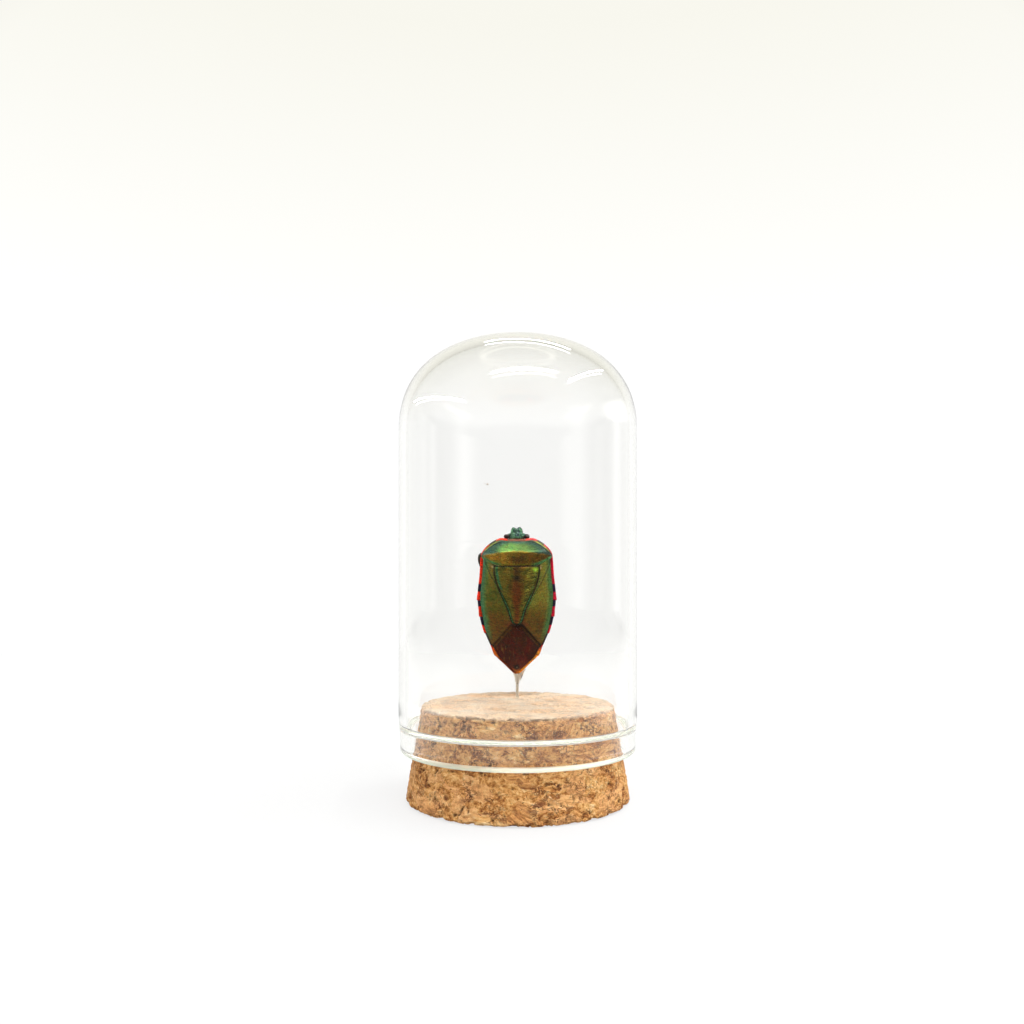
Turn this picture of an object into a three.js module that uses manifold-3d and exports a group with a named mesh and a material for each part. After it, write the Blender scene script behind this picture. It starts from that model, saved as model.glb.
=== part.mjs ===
// A small glass dome on a tapered cork base, with a metallic shield bug held upright inside on a pin.
// Millimetres, +Z up. The origin is the middle of the cork's underside, and the bug's back faces -Y.
import * as THREE from "three";
import { mergeVertices } from "three/addons/utils/BufferGeometryUtils.js";
import Module from "manifold-3d";

const wasm = await Module();
wasm.setup();

// ---- Driving dimensions ----
const GAP = 0.15; // left between neighbouring solids
const ROUND_SIDES = 40; // flats round the cork and the glass

const CORK_HEIGHT = 16.1;
const CORK_TOP_RADIUS = 16.35;
const CORK_BASE_RADIUS = 18.87;
const CORK_EDGE_ROUND = 0.6;

const DOME_RADIUS = 20;
const DOME_WALL = 1.35;
const DOME_RIM_Z = 8.3; // where the cork stops the rim
const DOME_TOP_Z = 77.1;
const DOME_CROWN_HEIGHT = 16; // from the straight wall to the top
const DOME_CROWN_POWER = 2.35; // 2 is a plain half ellipse, more is squarer
const LIP_OUTER_RADIUS = 19.75;
const LIP_INNER_RADIUS = 17.8;
const LIP_HEIGHT = 3.85;
const LIP_SHOULDER = 0.9; // height of the slanted step inside, above the lip
const LIP_TAPER_FOOT = 1.6; // how far below the lip's top the outside starts to widen
const LIP_TAPER_TOP = 2.4; // and how far above it the outside has its full radius
const LIP_ROUND_IN = 1.1;
const LIP_ROUND_OUT = 0.8;

const BUG_TAIL = new THREE.Vector3(-0.2, 7, 20.2);
const PIN_RADIUS = 0.28;
const PIN_X = -0.1;
const PIN_Y = 8.3;
const PIN_FOOT_Z = 6;
const PIN_TOP_Z = 23.6;
const GLUE_FOOT_Z = 18.5;
const GLUE_TOP_Z = 21.6;
const GLUE_TOP_RADIUS = 1.25;

// ---- Shape helpers ----
const mix = THREE.MathUtils.lerp;
const steps = (count) => Array.from({ length: count + 1 }, (_, i) => i / count);

// A smooth line through [place, value] pairs, read at any place.
function through(pairs) {
  const slope = (i, j) => (pairs[j][1] - pairs[i][1]) / (pairs[j][0] - pairs[i][0]);
  const last = pairs.length - 1;
  return (place) => {
    if (place <= pairs[0][0]) return pairs[0][1];
    if (place >= pairs[last][0]) return pairs[last][1];
    const j = pairs.findIndex(([p]) => p > place);
    const i = j - 1;
    const span = pairs[j][0] - pairs[i][0];
    const before = slope(Math.max(i - 1, 0), j);
    const after = slope(i, Math.min(j + 1, last));
    const t = (place - pairs[i][0]) / span;
    return (
      (2 * t ** 3 - 3 * t ** 2 + 1) * pairs[i][1] +
      (t ** 3 - 2 * t ** 2 + t) * span * before +
      (3 * t ** 2 - 2 * t ** 3) * pairs[j][1] +
      (t ** 3 - t ** 2) * span * after
    );
  };
}

// Moves each point of a geometry to place(x, y, z), which gives [x, y, z].
function reshaped(geometry, place) {
  const points = geometry.attributes.position;
  for (let i = 0; i < points.count; i++) {
    points.setXYZ(i, ...place(points.getX(i), points.getY(i), points.getZ(i)));
  }
  return geometry;
}

// A curved plate: a box whose rows and columns are laid out by plan(across, along) -> [x, y],
// between the surfaces bottom(x, y) and top(x, y). across is -1 to 1.
function plate({ columns, rows, plan, top, bottom }) {
  const box = new THREE.BoxGeometry(1, 1, 1, columns.length - 1, rows.length - 1, 1);
  const pick = (list, share) => list[Math.round((share + 0.5) * (list.length - 1))];
  return reshaped(box, (u, v, w) => {
    const [x, y] = plan(pick(columns, u), pick(rows, v));
    return [x, y, (w > 0 ? top : bottom)(x, y)];
  });
}

const bothSides = (shares) => [...shares.map((share) => -share).reverse(), 0, ...shares];

function solidOf(geometry) {
  const bare = geometry.clone();
  bare.deleteAttribute("normal");
  bare.deleteAttribute("uv");
  const merged = mergeVertices(bare, 1e-4);
  return new wasm.Manifold(
    new wasm.Mesh({
      numProp: 3,
      vertProperties: merged.attributes.position.array,
      triVerts: new Uint32Array(merged.index.array),
    }),
  );
}

function geometryOf(solid) {
  const mesh = solid.getMesh();
  const geometry = new THREE.BufferGeometry();
  geometry.setAttribute("position", new THREE.BufferAttribute(mesh.vertProperties, 3));
  geometry.setIndex(new THREE.BufferAttribute(mesh.triVerts, 1));
  return geometry;
}

const joined = (geometries) => geometries.map(solidOf).reduce((whole, piece) => whole.add(piece));

function ellipsoid([x, y, z], [rx, ry, rz], detail = 1) {
  return new THREE.IcosahedronGeometry(1, detail).scale(rx, ry, rz).translate(x, y, z);
}

// A limb: a rod bent through places given as [x, y, z, radius], its sections set square to the run.
function limb(places, level = new THREE.Vector3(0, 0, 1), sides = 6) {
  const points = places.map(([x, y, z]) => new THREE.Vector3(x, y, z));
  const run = new THREE.CatmullRomCurve3(points, false, "chordal");
  const radiusAt = through(places.map(([, , , radius], i) => [i / (places.length - 1), radius]));
  const rod = new THREE.CylinderGeometry(1, 1, 1, sides, 3 * (places.length - 1));
  return reshaped(rod, (x, y, z) => {
    const along = run.getTangent(y + 0.5);
    const aside = new THREE.Vector3().crossVectors(level, along).normalize();
    const up = new THREE.Vector3().crossVectors(aside, along);
    const radius = radiusAt(y + 0.5);
    const centre = run.getPoint(y + 0.5);
    return centre
      .addScaledVector(aside, x * radius)
      .addScaledVector(up, z * radius)
      .toArray();
  });
}

const onSide = (places, side) => places.map(([x, y, z, radius]) => [side * x, y, z, radius]);

// Turns a profile of [radius, height] pairs about the vertical axis.
function turned(profile, sides) {
  const points = profile.map(([radius, height]) => new THREE.Vector2(radius, height));
  return new THREE.LatheGeometry(points, sides).rotateX(Math.PI / 2);
}

function rounding(radius, height, round, startAngle, endAngle, count) {
  return steps(count).map((t) => {
    const angle = mix(startAngle, endAngle, t);
    return [radius + round * Math.cos(angle), height + round * Math.sin(angle)];
  });
}

// ---- Pin: a straight steel wire pushed into the cork, up to the bug's tail ----
function pinRod(radius, footZ, topZ) {
  return solidOf(
    new THREE.CylinderGeometry(radius, radius, topZ - footZ, 10)
      .rotateX(Math.PI / 2)
      .translate(PIN_X, PIN_Y, (footZ + topZ) / 2),
  );
}

// ---- Cork base: one turned plug of pressed cork, wider at the foot ----
function corkBase() {
  const round = CORK_EDGE_ROUND;
  const profile = [
    [0, 0],
    ...rounding(CORK_BASE_RADIUS - round, round, round, -Math.PI / 2, 0, 2),
    ...rounding(CORK_TOP_RADIUS - round, CORK_HEIGHT - round, round, 0, Math.PI / 2, 2),
    [0, CORK_HEIGHT],
  ];
  const plug = solidOf(turned(profile, ROUND_SIDES));
  return plug.subtract(pinRod(PIN_RADIUS + GAP, PIN_FOOT_Z - GAP, CORK_HEIGHT + 1));
}

// ---- Glass dome: one blown tube with a closed round crown and a thick pressed lip ----
function crown(radius, topZ, height, count) {
  const power = 2 / DOME_CROWN_POWER;
  return steps(count).map((t) => {
    const angle = (t * Math.PI) / 2;
    const out = t === 0 ? 0 : Math.sin(angle) ** power;
    const up = t === 1 ? 0 : Math.cos(angle) ** power;
    return [radius * out, topZ - height + height * up];
  });
}

function glassDome() {
  const lipTop = DOME_RIM_Z + LIP_HEIGHT;
  const footIn = DOME_RIM_Z + LIP_ROUND_IN;
  const footOut = DOME_RIM_Z + LIP_ROUND_OUT;
  const quarter = Math.PI / 2;
  const innerRadius = DOME_RADIUS - DOME_WALL;
  const innerCrown = crown(innerRadius, DOME_TOP_Z - DOME_WALL, DOME_CROWN_HEIGHT - DOME_WALL, 7);
  const profile = [
    ...innerCrown,
    [innerRadius, lipTop + LIP_SHOULDER],
    [LIP_INNER_RADIUS, lipTop],
    ...rounding(LIP_INNER_RADIUS + LIP_ROUND_IN, footIn, LIP_ROUND_IN, -2 * quarter, -quarter, 4),
    ...rounding(LIP_OUTER_RADIUS - LIP_ROUND_OUT, footOut, LIP_ROUND_OUT, -quarter, 0, 3),
    [LIP_OUTER_RADIUS, lipTop - LIP_TAPER_FOOT],
    [mix(LIP_OUTER_RADIUS, DOME_RADIUS, 0.5), lipTop + (LIP_TAPER_TOP - LIP_TAPER_FOOT) / 2],
    [DOME_RADIUS, lipTop + LIP_TAPER_TOP],
    ...crown(DOME_RADIUS, DOME_TOP_Z, DOME_CROWN_HEIGHT, 8).reverse(),
  ];
  return solidOf(turned(profile, ROUND_SIDES));
}

// ---- The bug, in its own frame: x across, y from tail to head, z out of its back ----
const RIM_Z = 0.35; // height of the body's sharp side edge
const RIM_WIDTH = 0.55; // of the belly's rim that shows beside the wings
const RIM_CORNER = 0.14; // how far each rib's hind corner juts from the rim
const RIB_ENDS = [3.2, 7.2, 10.1, 13, 15.9];
const WING_THICK = 0.28;
const MEMBRANE_THICK = 0.14;
const BODY_CLEAR = 0.3; // between the wings' underside and the body

const MARGIN = through([
  [0, 0.3],
  [0.5, 0.95],
  [1.6, 2.1],
  [3.2, 3.75],
  [4.8, 4.55],
  [6.9, 5.5],
  [9, 6.35],
  [13.3, 7],
  [17.5, 6.65],
  [20.8, 6.4],
  [21.6, 6.1],
  [22.9, 5.05],
  [23.9, 3.2],
]);
const BACK = through([
  [0, 0.55],
  [3, 1.15],
  [6, 1.7],
  [8.9, 2.2],
  [13, 2.75],
  [17, 3.05],
  [19, 3.1],
]);
const SHIELD_BACK = through([
  [19.1, 3.15],
  [20.6, 3.15],
  [21.7, 2.85],
  [22.7, 2.2],
  [24, 1.25],
]);
const BELLY = through([
  [0, 0.35],
  [2, 1.1],
  [5, 2],
  [9, 2.85],
  [13, 3.15],
  [17, 3.15],
  [20, 2.95],
  [22, 2.3],
  [24, 1.3],
]);

const bulge = (x, halfWidth, squareness, fullness) =>
  (1 - Math.min(Math.abs(x) / halfWidth, 1) ** squareness) ** fullness;
const backTop = (x, y) => RIM_Z + (BACK(y) - RIM_Z) * bulge(x, MARGIN(y), 2.6, 0.8);
const bellyUnder = (x, y) => -0.12 - (BELLY(y) - 0.12) * bulge(x, MARGIN(y), 2.2, 0.7);
const wingEdge = (y) => Math.max(MARGIN(y) - RIM_WIDTH, 0.25);

// Hind and front edges of the shield behind the head, and of the plates that meet it.
const SHIELD_REAR = through([
  [2.8, 19.15],
  [3.9, 19.4],
  [6.1, 20.4],
  [6.4, 20.75],
]);
const SHIELD_FRONT = through([
  [1.3, 23.72],
  [2.5, 23.95],
  [3.3, 23.85],
  [4.4, 23.3],
  [5.7, 22.2],
  [6.2, 21.5],
  [6.4, 21],
]);
const SHIELD_HALF_WIDTH = 6.4;

// The belly's top lies under the wings and rises to a flat rim beside them.
const bodyTop = (x, y) => {
  const underWing = Math.max(backTop(x, y) - WING_THICK - BODY_CLEAR - 0.2, -0.02);
  return Math.abs(x) < wingEdge(y) + 0.05 ? Math.min(underWing, 1.6) : RIM_Z;
};
const BODY_COLUMNS = bothSides([0.35, 0.65, 0.86, 0.925, 1]);

const THORAX_REAR = 15.2;
function thoraxPlate() {
  return plate({
    columns: BODY_COLUMNS,
    rows: steps(5),
    plan: (across, along) => {
      const front = SHIELD_REAR(Math.abs(across) * SHIELD_HALF_WIDTH) - 0.25;
      const y = mix(THORAX_REAR, front, along);
      return [across * MARGIN(y), y];
    },
    top: bodyTop,
    bottom: bellyUnder,
  });
}

// The belly's rim juts a little further out at the hind corner of each rib.
function abdomenPlate(grow = 0) {
  const front = THORAX_REAR - 0.2;
  const juts = [0, ...RIB_ENDS];
  const rows = [0, 0.7, 1.9, 5, 8.6, 11.5, 14.4, front, ...juts.slice(1, 5)];
  for (const end of juts.slice(1, 5)) rows.push(end + 0.2);
  const rimEdge = (y) => {
    const next = juts.findIndex((end) => end > y);
    const share = (y - juts[next - 1]) / (juts[next] - juts[next - 1]);
    return MARGIN(y) + RIM_CORNER * Math.max(0, y < juts[1] ? 0 : 1 - 2 * share);
  };
  return plate({
    columns: BODY_COLUMNS,
    rows: rows.sort((a, b) => a - b),
    plan: (across, y) => [across * (rimEdge(Math.min(y, front - 0.01)) + grow), y - grow],
    top: (x, y) => bodyTop(x, y) + grow,
    bottom: (x, y) => bellyUnder(x, y) - grow,
  });
}

// The shield behind the head, one with the breast below it.
function shieldPlate() {
  const halfWidth = (y) => (y < 21 ? SHIELD_HALF_WIDTH : MARGIN(y)) + 0.06;
  return plate({
    columns: bothSides([0.14, 0.3, 0.45, 0.6, 0.74, 0.87, 0.95, 1]),
    rows: [0, 0.2, 0.42, 0.6, 0.75, 0.88, 1],
    plan: (across, along) => {
      const x = across * SHIELD_HALF_WIDTH;
      return [x, mix(SHIELD_REAR(Math.abs(x)), SHIELD_FRONT(Math.abs(x)), along)];
    },
    top: (x, y) => 0.3 + (SHIELD_BACK(y) - 0.3) * bulge(x, halfWidth(y), 2.4, 0.75),
    bottom: (x, y) => -0.1 - (BELLY(y) - 0.1) * bulge(x, halfWidth(y), 2.2, 0.7),
  });
}

const SCUTELLUM_TIP = 8.85;
const SCUTELLUM_FRONT = 18.9;
const SCUTELLUM = through([
  [8.85, 0.16],
  [9.15, 0.46],
  [9.9, 0.8],
  [11.45, 1.28],
  [13.1, 2.12],
  [15.2, 3.15],
  [16.2, 3.5],
  [18, 3.9],
  [18.9, 3.9],
]);
function scutellumPlate() {
  return plate({
    columns: bothSides([0.4, 0.75, 1]),
    rows: [0, 0.03, 0.1, 0.25, 0.42, 0.62, 0.75, 0.9, 1],
    plan: (across, along) => {
      const y = mix(SCUTELLUM_TIP, SCUTELLUM_FRONT, along);
      return [across * SCUTELLUM(y), y];
    },
    top: (x, y) => backTop(x, y) + 0.12 * bulge(x, SCUTELLUM(y) + 0.01, 3, 1),
    bottom: (x, y) => backTop(x, y) - 0.4,
  });
}

// A fore wing: leathery from the shoulder to a slanted line, and a thin membrane from there on.
// The thin tips lie across each other at the tail, the left one on top.
const WING_TAIL = 0.9;
const MEMBRANE_FRONT = 8.4;
const membraneLine = (x) => MEMBRANE_FRONT - 1.15 * Math.max(0, Math.abs(x) - 1.2);
const LEFT_TIP_REACH = through([
  [WING_TAIL, 0.1],
  [1.6, 1.4],
  [3.2, 2.95],
  [5.1, 3.5],
  [7, 1.7],
  [7.9, 0.2],
  [8.7, -0.3],
]);
const RIGHT_TIP_REACH = through([
  [WING_TAIL, 0],
  [2.5, -1.2],
  [6, -1],
  [8.1, -0.15],
  [8.7, 0.3],
]);

function forewingPlate(side) {
  const onTop = side < 0;
  const tipReach = onTop ? LEFT_TIP_REACH : RIGHT_TIP_REACH;
  const innerEdge = (y) => (y < 8.7 ? tipReach(y) : side * (SCUTELLUM(y) + 0.24));
  const thin = (x, y) => THREE.MathUtils.smoothstep(membraneLine(x) - y, -0.4, 0.2);
  const sunk = (x, y) => (onTop ? 0 : thin(x, y) * (MEMBRANE_THICK + 0.17));
  const thick = (x, y) => mix(WING_THICK, MEMBRANE_THICK, thin(x, y));
  return plate({
    columns: steps(7),
    rows: [0, 0.04, 0.08, 0.13, 0.19, 0.25, 0.32, 0.37, 0.41, 0.45, 0.5, 0.57, 0.64, 0.72, 0.8, 0.9, 1],
    plan: (across, along) => {
      const innerY = mix(WING_TAIL, 19.1, along);
      const outerY = mix(WING_TAIL, 20.25, along);
      const out = onTop ? 1 - across : across;
      return [
        mix(innerEdge(innerY), side * wingEdge(outerY), out),
        mix(innerY, outerY, out),
      ];
    },
    top: (x, y) => backTop(x, y) - sunk(x, y),
    bottom: (x, y) => backTop(x, y) - sunk(x, y) - thick(x, y),
  });
}

// Beak, legs and feelers as [x, y, z, radius] on the right side, from the body outwards.
const BEAK = [
  [0, 24.7, -0.6, 0.3],
  [0, 24.1, -1.9, 0.28],
  [0, 21.4, -3.2, 0.2],
  [0, 17.6, -3.8, 0.13],
];
const FEELER = [
  [0.9, 24.6, -0.6, 0.18],
  [1.75, 24.4, -3.2, 0.15],
  [2.9, 22.6, -4.05, 0.13],
  [3.9, 18.6, -4.35, 0.12],
  [4.3, 14.6, -4.2, 0.1],
];
const FRONT_LEG = [
  [1.35, 20.2, -2.6, 0.5],
  [2.2, 20.6, -3.4, 0.44],
  [4.4, 21.5, -3.2, 0.3],
  [4.5, 22.2, -3.2, 0.24],
  [2.2, 22.9, -3.5, 0.19],
  [1.15, 23.8, -3.3, 0.11],
];
const MIDDLE_LEG = [
  [1.5, 18, -2.8, 0.5],
  [2.4, 17.8, -3.6, 0.46],
  [5.7, 16.9, -3.1, 0.32],
  [5.9, 16.2, -3.1, 0.25],
  [5.2, 12.7, -3.4, 0.19],
  [4.6, 11.3, -3.5, 0.11],
];
const HIND_LEG = [
  [1.5, 16.5, -2.8, 0.52],
  [2.2, 15.4, -4, 0.5],
  [3.9, 10.9, -3.9, 0.34],
  [4.2, 10.1, -3.8, 0.26],
  [4.3, 5.7, -3.2, 0.19],
  [4, 4.1, -2.9, 0.11],
];
// The left middle leg is bent up, so that its knee shows past the shield's edge.
const RAISED_LEG = [
  [1.5, 18, -2.8, 0.5],
  [2.6, 18.5, -3.5, 0.46],
  [6.35, 21.3, -2.05, 0.37],
  [6.72, 20.8, -1.95, 0.32],
  [6.3, 18.4, -2.4, 0.22],
  [5.3, 14.5, -3.2, 0.12],
];

function headSolid() {
  const skull = joined([
    ellipsoid([0, 24.1, -0.1], [1.42, 1.35, 1.12], 2),
    ellipsoid([0, 24.85, 0.12], [0.3, 0.85, 0.52]),
  ]);
  const lobesAndEyes = [-1, 1].flatMap((side) => [
    ellipsoid([side * 0.5, 25.02, 0.05], [0.6, 0.95, 0.52], 2),
    ellipsoid([side * 1.74, 24.42, 0.2], [0.56, 0.44, 0.5]),
    limb(onSide(FEELER, side), new THREE.Vector3(1, 0, 0), 5),
  ]);
  const behind = new THREE.BoxGeometry(8, 4, 2.9).translate(0, 23.72 + GAP - 2, 0);
  return skull
    .add(joined(lobesAndEyes))
    .subtract(solidOf(behind))
    .add(solidOf(limb(BEAK, new THREE.Vector3(1, 0, 0))));
}

const shieldSolid = () => joined([shieldPlate(), limb(FRONT_LEG), limb(onSide(FRONT_LEG, -1))]);
const thoraxSolid = () =>
  joined([
    thoraxPlate(),
    limb(MIDDLE_LEG),
    limb(onSide(RAISED_LEG, -1)),
    limb(HIND_LEG),
    limb(onSide(HIND_LEG, -1)),
  ]);

// ---- Glue: a clear drop drawn down the pin from the tail ----
function glueDrop(tail) {
  const height = GLUE_TOP_Z - GLUE_FOOT_Z;
  const foot = PIN_RADIUS + GAP + 0.15;
  const profile = [
    [0, GLUE_FOOT_Z],
    ...steps(4).map((t) => [mix(foot, GLUE_TOP_RADIUS, t ** 1.5), GLUE_FOOT_Z + height * t * 0.85]),
    [GLUE_TOP_RADIUS * 0.7, GLUE_TOP_Z],
    [0, GLUE_TOP_Z],
  ];
  const drop = solidOf(turned(profile, 14).translate(PIN_X, PIN_Y, 0));
  return drop.subtract(pinRod(PIN_RADIUS + GAP, GLUE_FOOT_Z - 1, GLUE_TOP_Z + 1)).subtract(tail);
}

// ---- Assembly ----
const finish = (color, roughness, metalness, more = {}) =>
  new THREE.MeshStandardMaterial({ color, roughness, metalness, ...more });
const CLEAR = { transparent: true, opacity: 0.3 };

const part = new THREE.Group();
const bug = new THREE.Group();
bug.position.copy(BUG_TAIL);
bug.rotation.x = Math.PI / 2;
bug.updateMatrix();
part.add(bug);

function put(group, name, solid, material) {
  const mesh = new THREE.Mesh(geometryOf(solid), material);
  mesh.name = name;
  group.add(mesh);
}

const tailWithRoom = solidOf(abdomenPlate(GAP).applyMatrix4(bug.matrix));
const toBug = bug.matrix.clone().invert();
const pinHole = solidOf(
  geometryOf(pinRod(PIN_RADIUS + GAP, PIN_FOOT_Z, PIN_TOP_Z + GAP)).applyMatrix4(toBug),
);

put(part, "cork_base", corkBase(), finish("#c39a66", 0.9, 0));
put(part, "glass_dome", glassDome(), finish("#eef2ee", 0.03, 0, CLEAR));
put(part, "pin", pinRod(PIN_RADIUS, PIN_FOOT_Z, PIN_TOP_Z), finish("#b9b7b0", 0.3, 1));
put(part, "glue_drop", glueDrop(tailWithRoom), finish("#e9e6dc", 0.1, 0, CLEAR));
put(bug, "head", headSolid(), finish("#3f7a3a", 0.4, 0.5));
put(bug, "shield", shieldSolid(), finish("#4a7a38", 0.4, 0.5));
put(bug, "scutellum", solidOf(scutellumPlate()), finish("#6a4a22", 0.4, 0.5));
put(bug, "thorax", thoraxSolid(), finish("#6a3a1c", 0.45, 0.2));
put(bug, "abdomen", solidOf(abdomenPlate()).subtract(pinHole), finish("#8a3a1c", 0.45, 0.2));
put(bug, "forewing_left", solidOf(forewingPlate(-1)), finish("#6a5a22", 0.4, 0.5));
put(bug, "forewing_right", solidOf(forewingPlate(1)), finish("#6a5a22", 0.4, 0.5));

export default part;
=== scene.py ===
import math

import bmesh
import bpy
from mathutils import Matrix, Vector, noise


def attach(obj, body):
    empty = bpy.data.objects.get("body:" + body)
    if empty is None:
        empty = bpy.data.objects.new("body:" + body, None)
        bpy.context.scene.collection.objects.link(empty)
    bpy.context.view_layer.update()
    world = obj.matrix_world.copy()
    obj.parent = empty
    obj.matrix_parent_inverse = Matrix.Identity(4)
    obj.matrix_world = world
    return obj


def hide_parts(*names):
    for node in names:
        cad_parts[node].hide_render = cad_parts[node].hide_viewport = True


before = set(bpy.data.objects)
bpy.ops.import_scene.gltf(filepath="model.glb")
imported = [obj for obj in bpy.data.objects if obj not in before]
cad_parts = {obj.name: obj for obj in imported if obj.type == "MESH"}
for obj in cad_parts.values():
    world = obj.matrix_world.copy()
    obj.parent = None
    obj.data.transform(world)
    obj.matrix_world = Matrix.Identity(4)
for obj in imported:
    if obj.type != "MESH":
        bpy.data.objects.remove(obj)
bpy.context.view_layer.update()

# ---------------------------------------------------------------------------------------------
# Cork base. A tapered plug of pressed cork granules, cut and sanded to shape, with crumbled edges.
# The glass sits down over its upper half and rests on the taper.
# ---------------------------------------------------------------------------------------------
CORK_HEIGHT = 16.1
CORK_TOP_RADIUS = 16.35
CORK_BASE_RADIUS = 18.87
CORK_EDGE = 0.6
CORK_AROUND = 440
MM = 0.001


def mix(a, b, share):
    """The value that lies this share of the way from a to b."""
    return a + (b - a) * share


def ramp(value, low, high):
    """0 below low, 1 above high, and a smooth rise between them."""
    share = min(max((value - low) / (high - low), 0.0), 1.0)
    return share * share * (3 - 2 * share)


def bell(value, middle, width):
    """1 at the middle, falling off smoothly to both sides."""
    return math.exp(-(((value - middle) / width) ** 2))


def turned(profile, steps):
    """A closed solid of revolution about Z from [radius, height] pairs that start and end on the axis."""
    bm = bmesh.new()
    line = [bm.verts.new((radius, 0, height)) for radius, height in profile]
    edges = [bm.edges.new(pair) for pair in zip(line, line[1:])]
    bmesh.ops.spin(
        bm, geom=line + edges, cent=(0, 0, 0), axis=(0, 0, 1),
        angle=math.tau, steps=steps, use_merge=True,
    )
    bmesh.ops.remove_doubles(bm, verts=bm.verts, dist=1e-4)
    bmesh.ops.recalc_face_normals(bm, faces=bm.faces)
    return bm


def place_piece(bm, name, material, nodes):
    """Turns a mesh in millimetres into a piece that rides on the frame and stands for its CAD nodes."""
    bmesh.ops.scale(bm, vec=(MM, MM, MM), verts=bm.verts)
    mesh = bpy.data.meshes.new(name)
    bm.to_mesh(mesh)
    bm.free()
    mesh.polygons.foreach_set("use_smooth", [True] * len(mesh.polygons))
    piece = bpy.data.objects.new(name, mesh)
    bpy.context.scene.collection.objects.link(piece)
    mesh.materials.append(material)
    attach(piece, "root")
    if nodes:
        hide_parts(*nodes)
    return piece


def rounding(radius, height, size, start, end, count):
    """An arc of [radius, height] points about a centre, from one angle in degrees to another."""
    turn = [math.radians(mix(start, end, i / count)) for i in range(count + 1)]
    return [(radius + size * math.cos(a), height + size * math.sin(a)) for a in turn]


def between(first, last, count):
    """Points from first up to, but not including, last."""
    return [
        (mix(first[0], last[0], i / count), mix(first[1], last[1], i / count))
        for i in range(count)
    ]


foot_curve = rounding(CORK_BASE_RADIUS - CORK_EDGE, CORK_EDGE, CORK_EDGE, -90, 0, 4)
head_curve = rounding(CORK_TOP_RADIUS - CORK_EDGE, CORK_HEIGHT - CORK_EDGE, CORK_EDGE, 0, 90, 4)
cork_profile = (
    between((0, 0), foot_curve[0], 16)
    + foot_curve[:-1]
    + between(foot_curve[-1], head_curve[0], 56)
    + head_curve[:-1]
    + between(head_curve[-1], (0, CORK_HEIGHT), 40)
    + [(0, CORK_HEIGHT)]
)
cork = turned(cork_profile, CORK_AROUND)

pit_layer = cork.verts.layers.float.new("pit")
cork.normal_update()
outward = {v: v.normal.copy() for v in cork.verts}
for v in cork.verts:
    p = v.co.copy()
    flat = Vector((p.x, p.y, p.z * 2.0))
    rough = noise.fractal(flat * 0.75, 1.0, 2.1, 5)
    cracks = 1 - abs(noise.noise(flat * 0.62 + Vector((3, 9, 1)))) * 5
    gate = ramp(noise.noise(flat * 0.33 + Vector((8, 2, 5))), 0.0, 0.35)
    pit = max(cracks, 0) * gate * ramp(noise.noise(p * 1.7), -0.1, 0.35)
    v[pit_layer] = pit
    place = (math.hypot(p.x, p.y), p.z)
    on_edge = max(
        bell(math.dist(place, (CORK_BASE_RADIUS, 0)), 0, 1.0),
        bell(math.dist(place, (CORK_TOP_RADIUS, CORK_HEIGHT)), 0, 0.8),
    )
    chips = max(0, noise.fractal(p * 0.9 + Vector((0, 4, 8)), 1.0, 2.0, 5))
    sink = 0.13 - 0.13 * rough + 0.4 * pit + on_edge * (0.05 + 1.1 * chips)
    if p.z < 0.01 and place[0] < CORK_BASE_RADIUS - 1.0:
        sink = 0.02 + 0.1 * pit
    v.co = p - outward[v] * max(sink, 0.0)


def feed(tree, socket, value):
    """Links a socket from another one, or gives it a number, a vector or a colour."""
    if isinstance(value, bpy.types.NodeSocket):
        tree.links.new(value, socket)
    elif socket.type == "RGBA" and len(value) == 3:
        socket.default_value = (*value, 1.0)
    else:
        socket.default_value = value


def set_inputs(tree, node, values):
    """Feeds a node's inputs from a table of names and values."""
    for name, value in values.items():
        feed(tree, node.inputs[name], value)


def add_node(tree, kind, inputs=None, **settings):
    """A shader node with its settings and its inputs."""
    made = tree.nodes.new(kind)
    for key, value in settings.items():
        setattr(made, key, value)
    set_inputs(tree, made, inputs or {})
    return made


def math_of(tree, operation, *values):
    return add_node(tree, "ShaderNodeMath", dict(enumerate(values)), operation=operation).outputs[0]


def vector_of(tree, operation, *values):
    """The outcome of a step of vector arithmetic; SCALE takes a vector and a number."""
    sockets = (0, "Scale") if operation == "SCALE" else (0, 1)
    made = add_node(tree, "ShaderNodeVectorMath", dict(zip(sockets, values)), operation=operation)
    return made.outputs["Value" if operation == "DOT_PRODUCT" else "Vector"]


def parts_of(tree, vector):
    return add_node(tree, "ShaderNodeSeparateXYZ", {"Vector": vector}).outputs


def stretched(tree, where, scale):
    """Coordinates scaled by their own amount in each direction."""
    return add_node(tree, "ShaderNodeMapping", {"Vector": where, "Scale": scale}).outputs[0]


def attribute(tree, name, share=1.0):
    """A mask that the mesh carries, turned down to a share."""
    mask = add_node(tree, "ShaderNodeAttribute", attribute_name=name).outputs["Fac"]
    return mask if share == 1.0 else math_of(tree, "MULTIPLY", mask, share)


def swing(tree, value, reach):
    """A texture that runs from 0 to 1, turned to swing about 0 over this reach."""
    return math_of(tree, "MULTIPLY_ADD", value, reach, -0.5 * reach)


def remapped(tree, value, low, high, to_low=0.0, to_high=1.0):
    """Moves a value from one range to another and clamps it there."""
    made = add_node(
        tree, "ShaderNodeMapRange",
        {"Value": value, "From Min": low, "From Max": high, "To Min": to_low, "To Max": to_high},
    )
    return made.outputs[0]


def tinted(tree, under, over, share):
    """Lays the colour over on the colour under, by a share from 0 to 1."""
    inputs = {0: share, 6: under, 7: over}
    return add_node(tree, "ShaderNodeMix", inputs, data_type="RGBA").outputs[2]


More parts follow.
